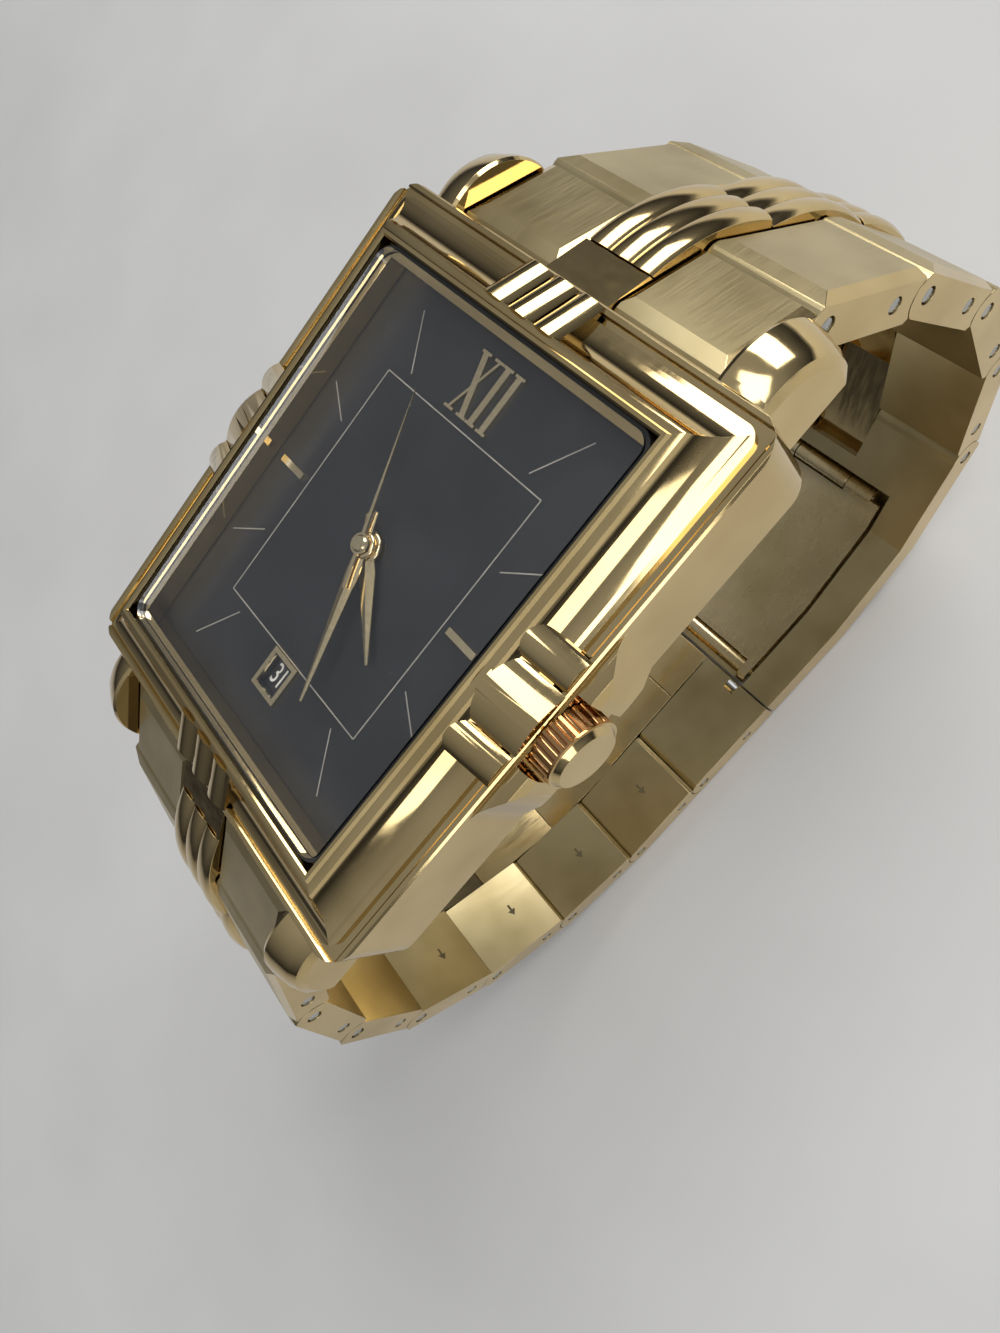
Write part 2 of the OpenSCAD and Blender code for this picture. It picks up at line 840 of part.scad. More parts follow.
module dial() {
    color(BLACK)
        in_head()
            difference() {
                slab(hollow_w - 0.2, hollow_l - 0.2, crystal_r, -dial_t, 0);
                cylinder(r = hour_tube_r + 0.15, h = 4 * dial_t, center = true);
                translate([0, -date_y, 0])
                    cube([date_w - 0.6, date_l - 0.6, 4 * dial_t], center = true);
            }
}

module stroke(x0, y0, x1, y1, w) {
    translate([(x0 + x1) / 2, (y0 + y1) / 2])
        rotate(atan2(y1 - y0, x1 - x0))
            square([norm([x1 - x0, y1 - y0]), w], center = true);
}

module applied_markers() {
    h = numeral_l / 2;
    thin = 0.16;
    thick = 0.4;
    color(GOLD)
        in_head() {
            linear_extrude(marker_h)
                translate([0, numeral_y]) {
                    stroke(-1.55, h, -0.35, -h, thick);
                    stroke(-1.55, -h, -0.35, h, thin);
                    for (x = [0.4, 1.35])
                        stroke(x, -h, x, h, thick);
                    for (y = [-h, h], x = [-1.5, -0.4, 0.4, 1.35])
                        stroke(x - 0.38, y, x + 0.38, y, thin);
                }
            for (x = [-1, 1])
                translate([x * bar_at, 0, marker_h / 2])
                    cube([bar_l, bar_w, marker_h], center = true);
            translate([0, -date_y, 0])
                difference() {
                    translate([0, 0, marker_h / 2])
                        cube([date_w, date_l, marker_h], center = true);
                    cube([date_w - 0.6, date_l - 0.6, 4 * marker_h], center = true);
                }
        }
}

module date_disc() {
    color(BLACK)
        in_head()
            translate([0, 0, -dial_t - 0.3])
                difference() {
                    cylinder(r = hollow_w / 2 - 0.45, h = 0.2, $fn = 120);
                    translate([0, 0, -1])
                        cylinder(r = 7.2, h = 2, $fn = 120);
                }
}

// A hand points at its angle clockwise from 12, drawn flat and raised to its own level
module hand(angle, low, high, len, tail, wide, hub, bore) {
    end_half = 0.12;
    widest = 1.2 * hub;
    rotate([0, 0, -angle])
        translate([0, 0, low])
            difference() {
                union() {
                    linear_extrude(high - low)
                        polygon([
                            [0, len], [wide / 2, widest], [end_half, -tail],
                            [-end_half, -tail], [-wide / 2, widest]
                        ]);
                    cylinder(r = hub, h = high - low);
                }
                cylinder(r = bore, h = 4 * high, center = true);
            }
}

hour_at = 133.4;
minute_at = 160.9;
second_at = 338;
hour_low = 0.32;
minute_low = 0.66;
second_low = 0.98;
hand_t = 0.2;

module hour_hand() {
    color(GOLD)
        in_head()
            hand(hour_at, hour_low, hour_low + hand_t, hour_len, 2, 1.15, 1.1, hour_tube_r + pin_fit);
}

module minute_hand() {
    color(GOLD)
        in_head()
            hand(minute_at, minute_low, minute_low + hand_t, minute_len, 2, 1, 0.9, cannon_r + pin_fit);
}

module second_hand() {
    color(GOLD)
        in_head() {
            hand(second_at, second_low, second_low + 0.12, second_len, 2.6, 0.24, 0.62, arbor_r + pin_fit);
            translate([0, 0, second_low + 0.13])
                cylinder(r1 = 0.5, r2 = 0.4, h = 0.1);
        }
}

// Going train, all below the dial; a wheel's teeth stand on its pitch circle
train_pitch = 0.1;
fifth_pitch = 0.12;
motion_pitch = 0.12;
third_far = 3.4;
third_angle = 140;
minute_angle = 50;
fifth_angle = -60;
rotor_angle = -20;
pinion = 8;
centre_pitch = third_far * 2 / (pinion + 64);
half_leaf = 180 / pinion;
third_xy = third_far * [cos(third_angle), sin(third_angle)];
minute_xy = (30 + 10) * motion_pitch / 2 * [cos(minute_angle), sin(minute_angle)];
fifth_xy = (48 + pinion) * fifth_pitch / 2 * [cos(fifth_angle), sin(fifth_angle)];
rotor_xy = fifth_xy + (40 + pinion) * train_pitch / 2 * [cos(rotor_angle), sin(rotor_angle)];
tooth_deep = 0.35;
tooth_play = 0.45;

module gear(xy, teeth, module_mm, low, high, bore, spin = 0) {
    r = teeth * module_mm / 2;
    step = 360 / teeth;
    translate([xy[0], xy[1], low])
        linear_extrude(high - low)
            difference() {
                polygon([for (k = [0 : teeth - 1], part = [[-0.3, -1], [-0.12, 1], [0.12, 1], [0.3, -1]])
                    (r + part[1] * tooth_deep * module_mm) * [
                        cos(spin + (k + part[0] * tooth_play * 2) * step),
                        sin(spin + (k + part[0] * tooth_play * 2) * step)
                    ]]);
                if (bore > 0)
                    circle(r = bore);
            }
}

module arbor(xy, r, low, high) {
    translate([xy[0], xy[1], low])
        cylinder(r = r, h = high - low);
}

hour_wheel_z = -0.95;
cannon_z = -1.22;
plate_z = -1.3;
plate_low = -2.3;
centre_z = -2.6;
third_z = -2.95;
fourth_z = -3.3;
fifth_z = -3.65;
bridge_z = -3.8;
bridge_low = -4.15;
wheel_t = 0.2;

module hour_wheel() {
    color(BRASS)
        in_head()
            difference() {
                union() {
                    gear([0, 0], 32, motion_pitch, hour_wheel_z, hour_wheel_z + wheel_t, 0);
                    arbor([0, 0], hour_tube_r, hour_wheel_z, hour_low + hand_t);
                }
                cylinder(r = cannon_r + hole_gap, h = 10, center = true);
            }
}

module centre_wheel() {
    color(BRASS)
        in_head()
            difference() {
                union() {
                    gear([0, 0], 64, centre_pitch, centre_z, centre_z + wheel_t, 0);
                    gear([0, 0], 10, motion_pitch, cannon_z, cannon_z + wheel_t, 0);
                    arbor([0, 0], cannon_r, centre_z, minute_low + hand_t);
                }
                cylinder(r = arbor_r + hole_gap, h = 20, center = true);
            }
}

module minute_wheel() {
    color(BRASS)
        in_head() {
            gear(minute_xy, 30, motion_pitch, cannon_z, cannon_z + wheel_t, 0, 6 + minute_angle * 10 / 30);
            gear(minute_xy, pinion, motion_pitch, cannon_z, hour_wheel_z + wheel_t, 0, half_leaf);
            arbor(minute_xy, 0.3, plate_z - 0.5, cannon_z);
        }
}

module fourth_wheel() {
    color(BRASS)
        in_head() {
            gear([0, 0], 48, fifth_pitch, fourth_z, fourth_z + wheel_t, 0);
            gear([0, 0], 8, train_pitch, third_z, fourth_z + wheel_t + 0.15 + wheel_t, 0, 0);
            arbor([0, 0], arbor_r, fourth_z - 0.2, second_low + 0.12);
            arbor([0, 0], 0.15, bridge_low, fourth_z);
        }
}

module third_wheel() {
    color(BRASS)
        in_head() {
            gear(third_xy, 60, train_pitch, third_z, third_z + wheel_t, 0, 3);
            gear(
                third_xy, pinion, centre_pitch, third_z, centre_z + wheel_t, 0,
                third_angle + 180 + half_leaf
            );
            arbor(third_xy, 0.15, bridge_low, plate_low + 0.5);
        }
}

module fifth_wheel() {
    color(BRASS)
        in_head() {
            gear(fifth_xy, 40, train_pitch, fifth_z, fifth_z + wheel_t, 0, 4.5);
            gear(
                fifth_xy, pinion, fifth_pitch, fifth_z, fourth_z + wheel_t, 0,
                fifth_angle + 180 + half_leaf
            );
            arbor(fifth_xy, 0.15, bridge_low, plate_low + 0.5);
        }
}

module rotor() {
    color(STEEL)
        in_head() {
            gear(
                rotor_xy, pinion, train_pitch, fifth_z, fifth_z + wheel_t, 0,
                rotor_angle + 180 + half_leaf
            );
            arbor(rotor_xy, 0.15, bridge_low, plate_low + 0.5);
            arbor(rotor_xy, 0.5, -3.3, -2.5);
            arbor(rotor_xy, 0.25, fifth_z, -2.5);
        }
}

movement_r = 9.8;
battery_xy = [-4.3, -4.6];
battery_r = 3;
battery_top = -2.45;
coil_y = 6.6;

module main_plate() {
    color(BRASS)
        in_head()
            difference() {
                arbor([0, 0], movement_r, plate_low, plate_z);
                arbor([0, 0], 3.3, plate_low - 1, -2.05);
                cylinder(r = cannon_r + hole_gap, h = 20, center = true);
                arbor(minute_xy, 0.3 + hole_gap, plate_z - 0.6, 0);
                for (xy = [third_xy, fifth_xy, rotor_xy])
                    arbor(xy, 0.15 + hole_gap, plate_low - 1, plate_low + 0.6);
                translate([0, 0, -crown_depth])
                    bar_x(stem_r + 0.1, 5.5, 2 * movement_r);
                translate([6.2, -1.6, plate_low - 1])
                    cube([2.4, 3.2, 1 - plate_low - 0.9]);
            }
}

module train_bridge() {
    color(STEEL)
        in_head()
            difference() {
                union() {
                    arbor([1.2, -0.4], 5.8, bridge_low, bridge_z);
                    for (xy = [[1.2, 4.8], [5.4, 1.4], [0, -4.9]])
                        arbor(xy, 0.45, bridge_low, plate_low - 0.01);
                }
                for (xy = [[0, 0], third_xy, fifth_xy, rotor_xy])
                    arbor(xy, 0.15 + hole_gap, -10, 0);
                arbor(battery_xy, battery_r + 0.1, -10, -2);
            }
}

module circuit_block() {
    in_head() {
        color([0.1, 0.3, 0.15])
            translate([-4.6, coil_y - 1.1, plate_low - 0.35])
                cube([8, 2.2, 0.33]);
        color(COPPER_GOLD)
            translate([0, coil_y, plate_low - 1.15])
                bar_x(0.75, -4, 3);
        color(STEEL)
            difference() {
                union() {
                    arbor(rotor_xy, 1.1, -3.1, -2.6);
                    translate([rotor_xy[0] + 0.2, rotor_xy[1], -3.1])
                        cube([1.6, 4.4, 0.5]);
                }
                arbor(rotor_xy, 0.6, -4, -2);
            }
    }
}

module battery() {
    color(STEEL)
        in_head() {
            arbor(battery_xy, battery_r, battery_top - 1.4, battery_top);
            arbor(battery_xy, battery_r - 0.5, battery_top - 1.6, battery_top - 1.4);
        }
}

back_rim = 0.5;
holder_low = -case_depth + back_rim + 0.35;

module movement_holder() {
    color(PLASTIC)
        in_head()
            difference() {
                slab(hollow_w - 0.1, hollow_l - 0.1, crystal_r, holder_low, -dial_t - 0.05);
                arbor([0, 0], movement_r + 0.05, -10, 0);
                arbor([0, 0], hollow_w / 2 - 0.35, -dial_t - 0.45, 0);
                translate([0, 0, -crown_depth])
                    bar_x(tube_r + 0.1, 5, 2 * half_w);
            }
}

crown_from = half_w + 0.15;
gasket_ring_r = 1.1;
gasket_ring_from = 0.3;

module stem() {
    color(STEEL)
        in_head()
            translate([0, 0, -crown_depth])
                difference() {
                    bar_x(stem_r, 6.4, crown_from + crown_l * 0.6);
                    rotate([0, 90, 0])
                        translate([0, 0, 7.3])
                            difference() {
                                cylinder(r = 1, h = 0.5);
                                translate([0, 0, -1])
                                    cylinder(r = 0.26, h = 3);
                            }
                }
}

module crown() {
    cap = 0.35;
    flute_r = PI * crown_r / crown_flutes * 0.62;
    color(COPPER_GOLD)
        in_head()
            translate([crown_from, 0, -crown_depth])
                rotate([0, 90, 0])
                    difference() {
                        union() {
                            cylinder(r = crown_r, h = crown_l - cap);
                            translate([0, 0, crown_l - cap])
                                cylinder(r1 = crown_r - 0.15, r2 = crown_r - 0.4, h = cap);
                        }
                        for (k = [0 : crown_flutes - 1])
                            rotate([0, 0, (k + 0.5) * 360 / crown_flutes])
                                translate([crown_r + 0.04, 0, -1])
                                    cylinder(r = flute_r, h = crown_l - cap + 0.85, $fn = 16);
                        translate([0, 0, -1])
                            cylinder(r = stem_r + pin_fit, h = 1 + crown_l * 0.6 + fit_gap);
                        translate([0, 0, -1])
                            cylinder(r = gasket_ring_r + hole_gap, h = 1.5 + gasket_ring_from);
                    }
}

module crown_tube() {
    color(STEEL)
        in_head()
            translate([0, 0, -crown_depth])
                difference() {
                    bar_x(tube_r, hollow_w / 2 - 0.4, half_w);
                    bar_x(stem_r + hole_gap, 0, 2 * half_w);
                }
}

module crown_gasket() {
    color(BLACK)
        in_head()
            translate([0, 0, -crown_depth])
                difference() {
                    bar_x(
                        gasket_ring_r, crown_from + gasket_ring_from,
                        crown_from + gasket_ring_from + 0.4
                    );
                    bar_x(stem_r + hole_gap, 0, 2 * half_w);
                }
}

module case_back() {
    flange = back_t - 0.5;
    color(STEEL)
        in_head()
            difference() {
                union() {
                    slab(
                        case_w - 2 * back_inset, case_l - 2 * back_inset, case_corner_r,
                        -case_depth - flange, -case_depth - 0.01
                    );
                    slab(
                        hollow_w - 0.1, hollow_l - 0.1, crystal_r, -case_depth - flange,
                        -case_depth + back_rim
                    );
                }
                slab(hollow_w - 2.4, hollow_l - 2.4, crystal_r, -case_depth, 0);
                for (x = [-1, 1], y = [-1, 1])
                    translate([x * screw_x, y * screw_y, -case_depth - 2]) {
                        cylinder(r = screw_r + hole_gap, h = 3);
                        cylinder(r = 2 * screw_r, h = 2 - flange / 2);
                    }
            }
}

module case_back_gasket() {
    color(BLACK)
        in_head()
            translate([0, 0, -case_depth])
                linear_extrude(gasket_deep - fit_gap)
                    gasket_shape(0);
}

module case_back_screws() {
    flange = back_t - 0.5;
    color(STEEL)
        in_head()
            for (x = [-1, 1], y = [-1, 1])
                translate([x * screw_x, y * screw_y, -case_depth - flange])
                    difference() {
                        union() {
                            cylinder(r = screw_r, h = 2);
                            cylinder(r = 2 * screw_r - hole_gap, h = flange / 2 - 0.01);
                        }
                        cube([6 * screw_r, 0.2, flange / 2], center = true);
                    }
}

case_body();
bezel();
crystal();
crystal_gasket();
dial();
applied_markers();
date_disc();
hour_hand();
minute_hand();
second_hand();
hour_wheel();
centre_wheel();
fourth_wheel();
minute_wheel();
third_wheel();
rotor();
fifth_wheel();
main_plate();
train_bridge();
circuit_block();
battery();
movement_holder();
stem();
crown();
crown_tube();
crown_gasket();
case_back();
case_back_gasket();
case_back_screws();
clasp_cover();
middle_blade();
inner_blade();
for (side = SIDES, i = [1 : rows_of(side)]) {
    outer_pair(side, i);
    centre_link(side, i);
}
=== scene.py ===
# %% [markdown]
# # A gold bracelet watch
# This lesson dresses a watch whose solids come from a CAD model. The solids already have the real
# sizes, so Blender only adds what a machinist can't: broken edges, brushed and polished gold,
# printed lines on lacquer, and light. Everything is in metres.

import json
import math

import bmesh
import bpy
from mathutils import Matrix, Vector


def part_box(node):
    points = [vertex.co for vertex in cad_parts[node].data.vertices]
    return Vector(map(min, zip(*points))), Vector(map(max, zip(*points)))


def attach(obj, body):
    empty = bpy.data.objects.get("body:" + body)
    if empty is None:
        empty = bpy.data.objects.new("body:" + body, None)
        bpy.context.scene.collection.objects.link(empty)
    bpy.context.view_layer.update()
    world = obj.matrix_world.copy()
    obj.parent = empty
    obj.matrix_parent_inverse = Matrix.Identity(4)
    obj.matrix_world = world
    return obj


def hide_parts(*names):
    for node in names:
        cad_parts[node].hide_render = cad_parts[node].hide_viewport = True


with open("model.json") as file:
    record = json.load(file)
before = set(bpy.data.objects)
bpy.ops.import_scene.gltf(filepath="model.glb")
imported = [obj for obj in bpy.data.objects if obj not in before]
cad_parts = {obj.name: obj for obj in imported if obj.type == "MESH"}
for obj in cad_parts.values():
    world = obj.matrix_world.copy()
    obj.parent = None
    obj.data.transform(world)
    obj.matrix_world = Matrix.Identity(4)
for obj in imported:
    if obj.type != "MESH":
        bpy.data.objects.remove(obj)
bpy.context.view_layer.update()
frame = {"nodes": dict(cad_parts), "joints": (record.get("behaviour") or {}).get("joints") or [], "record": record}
MM = 0.001
print("nodes in the frame:", len(frame["nodes"]))

# %% [markdown]
# The dial is the place that every part of the head is measured from. Its face is the top of the
# dial's solid, so its height is read from the frame and never typed in.

# %% Find the dial
dial_low, dial_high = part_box("dial")
DIAL_Z = dial_high.z
print("dial's face in mm above the table:", round(DIAL_Z / MM, 2))


def over_dial(x, y, z):
    """A point given in mm from the middle of the dial's face."""
    return Vector((x * MM, y * MM, z * MM + DIAL_Z))


# %% [markdown]
# A photographer's camera close to a watch sees strong perspective: it stands only five centimetres
# from the dial. The camera's place and its three directions give its matrix directly, which is
# simpler than aiming it with a constraint, and keeps its roll exact.

# %% Camera
PHOTO_WIDTH_PX = 1000
FOCAL_PX = 890
SENSOR_WIDTH_MM = 36
eye = over_dial(32.56, 10.24, 38.23)
look = Vector((-0.480, -0.216, -0.850)).normalized()
right = Vector((0.608, 0.617, -0.500))
right = (right - look * right.dot(look)).normalized()
up = right.cross(look)
lens = bpy.data.cameras.new("photo_lens")
lens.sensor_fit = "HORIZONTAL"
lens.sensor_width = SENSOR_WIDTH_MM
lens.lens = lens.sensor_width * FOCAL_PX / PHOTO_WIDTH_PX
lens.clip_start = 1 * MM
lens.clip_end = 10
camera = bpy.data.objects.new("photo_camera", lens)
bpy.context.collection.objects.link(camera)
camera.matrix_world = Matrix((
    (right.x, up.x, -look.x, eye.x),
    (right.y, up.y, -look.y, eye.y),
    (right.z, up.z, -look.z, eye.z),
    (0, 0, 0, 1),
))
bpy.context.scene.camera = camera
print("lens in mm:", round(lens.lens, 1))

# %% [markdown]
# A finish is a small graph of nodes. Most of those below are made of the same few parts: a grain of
# stretched noise, a slow cloud of tone, and a bump so faint that it only stirs the reflections.
# The noise reads object coordinates, so it stays on the metal when a link swings.

# %% Helper for node graphs
NOISE_RANGE = (0.3, 0.7)
TONE_RANGE = (0.35, 0.65)


def new_finish(name):
    """A new material, with its nodes, its links, its shader and the object's own coordinates."""
    finish = bpy.data.materials.new(name)
    finish.use_nodes = True
    nodes = finish.node_tree.nodes
    shader = nodes["Principled BSDF"]
    places = nodes.new("ShaderNodeTexCoord")
    return finish, nodes, finish.node_tree.links, shader, places


def stretched_noise(nodes, links, places, scale, detail=3.0, distortion=0.0):
    """Noise whose size along X, Y and Z is given in waves per metre."""
    mapping = nodes.new("ShaderNodeMapping")
    mapping.inputs["Scale"].default_value = scale
    links.new(places.outputs["Object"], mapping.inputs["Vector"])
    noise = nodes.new("ShaderNodeTexNoise")
    noise.inputs["Scale"].default_value = 1.0
    noise.inputs["Detail"].default_value = detail
    noise.inputs["Distortion"].default_value = distortion
    links.new(mapping.outputs["Vector"], noise.inputs["Vector"])
    return noise


def spread(nodes, links, value, low, high):
    """Moves noise, which seldom leaves its middle range, to the range low to high."""
    remap = nodes.new("ShaderNodeMapRange")
    remap.inputs["From Min"].default_value = NOISE_RANGE[0]
    remap.inputs["From Max"].default_value = NOISE_RANGE[1]
    remap.inputs["To Min"].default_value = low
    remap.inputs["To Max"].default_value = high
    links.new(value, remap.inputs["Value"])
    return remap.outputs["Result"]


def two_tone(nodes, links, value, dark, light):
    """A colour that drifts between two tones."""
    ramp = nodes.new("ShaderNodeValToRGB")
    for stop, position, colour in zip(ramp.color_ramp.elements, TONE_RANGE, (dark, light)):
        stop.position = position
        stop.color = (*colour, 1)
    links.new(value, ramp.inputs["Fac"])
    return ramp.outputs["Color"]


def roughen(nodes, links, value, shader, strength, depth):
    """A bump on the shader: depth is the height of its waves in metres."""
    bump = nodes.new("ShaderNodeBump")
    bump.inputs["Strength"].default_value = strength
    bump.inputs["Distance"].default_value = depth
    links.new(value, bump.inputs["Height"])
    links.new(bump.outputs["Normal"], shader.inputs["Normal"])


print("noise is read between", *NOISE_RANGE)

# %% [markdown]
# Gold plate comes in several finishes here. Mirror polish on the case and bezel shows faint hairlines
# from wiping. A long brush stroke on the links runs the way the bracelet runs, so its grain changes
# fast across the links and slowly along them. The clasp's blades have a shorter, brighter stroke. The
# hands are the palest gold, and the flutes of the crown are the reddest.

# %% Gold finishes
POLISH_DARK = (0.60, 0.445, 0.205)
POLISH_LIGHT = (0.71, 0.545, 0.27)
BRUSH_DARK = (0.47, 0.375, 0.19)
BRUSH_LIGHT = (0.62, 0.51, 0.28)
CLOUD_WAVES = 160
METAL_BUMP = 0.25


def metal(name, dark, light, rough, grain, bump_depth):
    """Metal: rough is a pair of limits, grain the noise's waves per metre along X, Y and Z."""
    finish, nodes, links, shader, places = new_finish(name)
    shader.inputs["Metallic"].default_value = 1.0
    streaks = stretched_noise(nodes, links, places, grain, detail=4.0)
    tone = stretched_noise(nodes, links, places, (CLOUD_WAVES,) * 3, detail=2.0)
    links.new(two_tone(nodes, links, tone.outputs["Fac"], dark, light), shader.inputs["Base Color"])
    links.new(spread(nodes, links, streaks.outputs["Fac"], *rough), shader.inputs["Roughness"])
    roughen(nodes, links, streaks.outputs["Fac"], shader, METAL_BUMP, bump_depth)
    return finish


case_gold = metal("case_gold", POLISH_DARK, POLISH_LIGHT, (0.07, 0.13), (900, 900, 4000), 1.5e-6)
bezel_gold = metal("bezel_gold", POLISH_DARK, POLISH_LIGHT, (0.05, 0.10), (2500, 700, 700), 1e-6)
brushed_gold = metal("brushed_gold", BRUSH_DARK, BRUSH_LIGHT, (0.28, 0.38), (22000, 420, 420), 2.5e-6)
link_polish = metal("link_polish", POLISH_DARK, POLISH_LIGHT, (0.08, 0.16), (3000, 500, 500), 2e-6)
blade_gold = metal(
    "blade_gold", (0.60, 0.48, 0.25), (0.74, 0.60, 0.35), (0.18, 0.30), (2200, 500, 500), 3e-6,
)
hand_gold = metal(
    "hand_gold", (0.76, 0.62, 0.36), (0.86, 0.72, 0.44), (0.10, 0.20), (4000, 4000, 900), 1e-6,
)
crown_gold = metal(
    "crown_gold", (0.52, 0.285, 0.115), (0.66, 0.38, 0.17), (0.12, 0.22), (1500, 3000, 3000), 3e-6,
)
print("polished gold runs from", POLISH_DARK, "to", POLISH_LIGHT)

# %% [markdown]
# The hidden metals matter in the other views and when the watch is taken apart: brushed steel on the
# case back and the pins, matt brass on wheels and plate. The same function makes them, since only
# colour and grain tell one metal from another. Plastic, rubber and paint need a plainer one.

# %% Steel, brass, rubber and plastic
PLAIN_BUMP = 0.2
steel = metal("steel", (0.40, 0.40, 0.39), (0.52, 0.52, 0.50), (0.22, 0.36), (600, 9000, 600), 4e-6)
movement_brass = metal(
    "movement_brass", (0.62, 0.46, 0.20), (0.72, 0.55, 0.27), (0.28, 0.42), (2500, 2500, 2500), 3e-6,
)


def plain_stuff(name, dark, light, rough, waves, bump_depth):
    """Plastic, rubber, paint or lacquer: a tone that drifts, waves times in a metre."""
    finish, nodes, links, shader, places = new_finish(name)
    tone = stretched_noise(nodes, links, places, (waves,) * 3, detail=3.0)
    links.new(two_tone(nodes, links, tone.outputs["Fac"], dark, light), shader.inputs["Base Color"])
    links.new(spread(nodes, links, tone.outputs["Fac"], *rough), shader.inputs["Roughness"])
    roughen(nodes, links, tone.outputs["Fac"], shader, PLAIN_BUMP, bump_depth)
    return finish


rubber = plain_stuff("rubber", (0.012, 0.012, 0.012), (0.02, 0.02, 0.02), (0.6, 0.75), 900, 6e-6)
holder_plastic = plain_stuff(
    "holder_plastic", (0.62, 0.58, 0.5), (0.68, 0.64, 0.56), (0.4, 0.5), 500, 4e-6,
)
board_green = plain_stuff(
    "board_green", (0.02, 0.08, 0.04), (0.03, 0.12, 0.06), (0.35, 0.45), 700, 4e-6,
)
disc_black = plain_stuff(
    "disc_black", (0.008, 0.008, 0.009), (0.014, 0.014, 0.016), (0.45, 0.55), 600, 3e-6,
)
print("materials so far:", len(bpy.data.materials))

# %% [markdown]
# The dial is lacquered metal: almost black with a trace of blue-grey. The crystal above it gives the
# sharp reflections, so the lacquer itself is only half glossy and has no bump at all. The hour lines
# are a warm grey ink, and the date is a brighter one.

# %% Dial lacquer and print
lacquer = plain_stuff(
    "dial_lacquer", (0.0030, 0.0034, 0.0042), (0.0055, 0.0062, 0.0078), (0.34, 0.46), 220, 0,
)
print_ink = plain_stuff("dial_print", (0.21, 0.20, 0.17), (0.27, 0.25, 0.21), (0.4, 0.5), 900, 1e-6)
white_ink = plain_stuff("date_print", (0.60, 0.58, 0.52), (0.66, 0.64, 0.58), (0.4, 0.5), 900, 1e-6)
print("materials with the dial's:", len(bpy.data.materials))

# %% [markdown]
# A watch glass is clear, so most of what one sees of it is reflection, broken by faint smears from
# fingers. The shader is real glass that bends light. A shadow ray doesn't bend and would find the
# dial in the dark, so for shadow rays alone a transparent shader takes the glass's place.

# %% Crystal
GLASS_IOR = 1.5
SMEAR_WAVES = (260, 120, 120)
SMEAR_ROUGH = 0.02


def clear_glass(name):
    """Glass with a few smears that lets lamps shine through without a shadow."""
    finish, nodes, links, shader, places = new_finish(name)
    smears = stretched_noise(nodes, links, places, SMEAR_WAVES, detail=4.0, distortion=0.6)
    shader.inputs["Base Color"].default_value = (1, 1, 1, 1)
    shader.inputs["Transmission Weight"].default_value = 1.0
    shader.inputs["IOR"].default_value = GLASS_IOR
    links.new(spread(nodes, links, smears.outputs["Fac"], 0.0, SMEAR_ROUGH), shader.inputs["Roughness"])
    clear = nodes.new("ShaderNodeBsdfTransparent")
    ghost = nodes.new("ShaderNodeMixShader")
    path = nodes.new("ShaderNodeLightPath")
    links.new(path.outputs["Is Shadow Ray"], ghost.inputs["Fac"])
    links.new(shader.outputs["BSDF"], ghost.inputs[1])
    links.new(clear.outputs["BSDF"], ghost.inputs[2])
    links.new(ghost.outputs["Shader"], nodes["Material Output"].inputs["Surface"])
    return finish


crystal_glass = clear_glass("crystal_glass")
print("crystal's index of refraction:", GLASS_IOR)

# %% [markdown]
# Most solids keep their CAD mesh and only take a finish. A table from the record's material slot to
# the finish does the whole watch in one loop.

# %% Give each solid its finish
FINISH_OF_SLOT = {
    "case_gold": case_gold, "bezel_gold": bezel_gold, "link_gold": brushed_gold,
    "centre_gold": link_polish, "clasp_gold": brushed_gold, "blade_gold": blade_gold,
    "hand_gold": hand_gold, "crown_gold": crown_gold, "glass": crystal_glass,
    "dial_black": lacquer, "disc_black": disc_black, "gasket": rubber, "steel": steel,
    "movement_brass": movement_brass, "circuit": board_green, "holder": holder_plastic,
}
slot_of_node = {part["node"]: part["material_slot"] for part in frame["record"]["subparts"]}
for node_name, solid in frame["nodes"].items():
    finish = FINISH_OF_SLOT[slot_of_node[node_name]]
    for place in range(max(1, len(solid.material_slots))):
        if place >= len(solid.material_slots):
            solid.data.materials.append(finish)
        else:
            solid.material_slots[place].material = finish
print("solids with a finish:", len(frame["nodes"]))

# %% [markdown]
# Nothing on a real watch has a perfectly sharp edge: polishing wheels break each one by a few
# hundredths of a millimetre, and that thin rounded line is what catches the light. The CAD solids
# can't be changed, so each visible one is copied, its flat triangles are merged into whole faces,
# and a bevel rounds the edges that are sharper than a set angle. Weighted normals keep the big flat
# faces flat beside small rounded ones. The copy then stands for the solid.

# %% Copy a solid with its edges broken
body_of_node = {
    part: body for body, parts in frame["record"]["behaviour"]["bodies"].items() for part in parts
}
SAME_PLACE = 1e-4 * MM
FLAT_WITHIN = math.radians(0.6)
CREASE_OVER = math.radians(16)
SHARP_OVER = math.radians(28)
ROUNDING_STEPS = 2
SIDEWAYS = 0.2
FACE_WEIGHT = 80
EDGE = 0.06 * MM


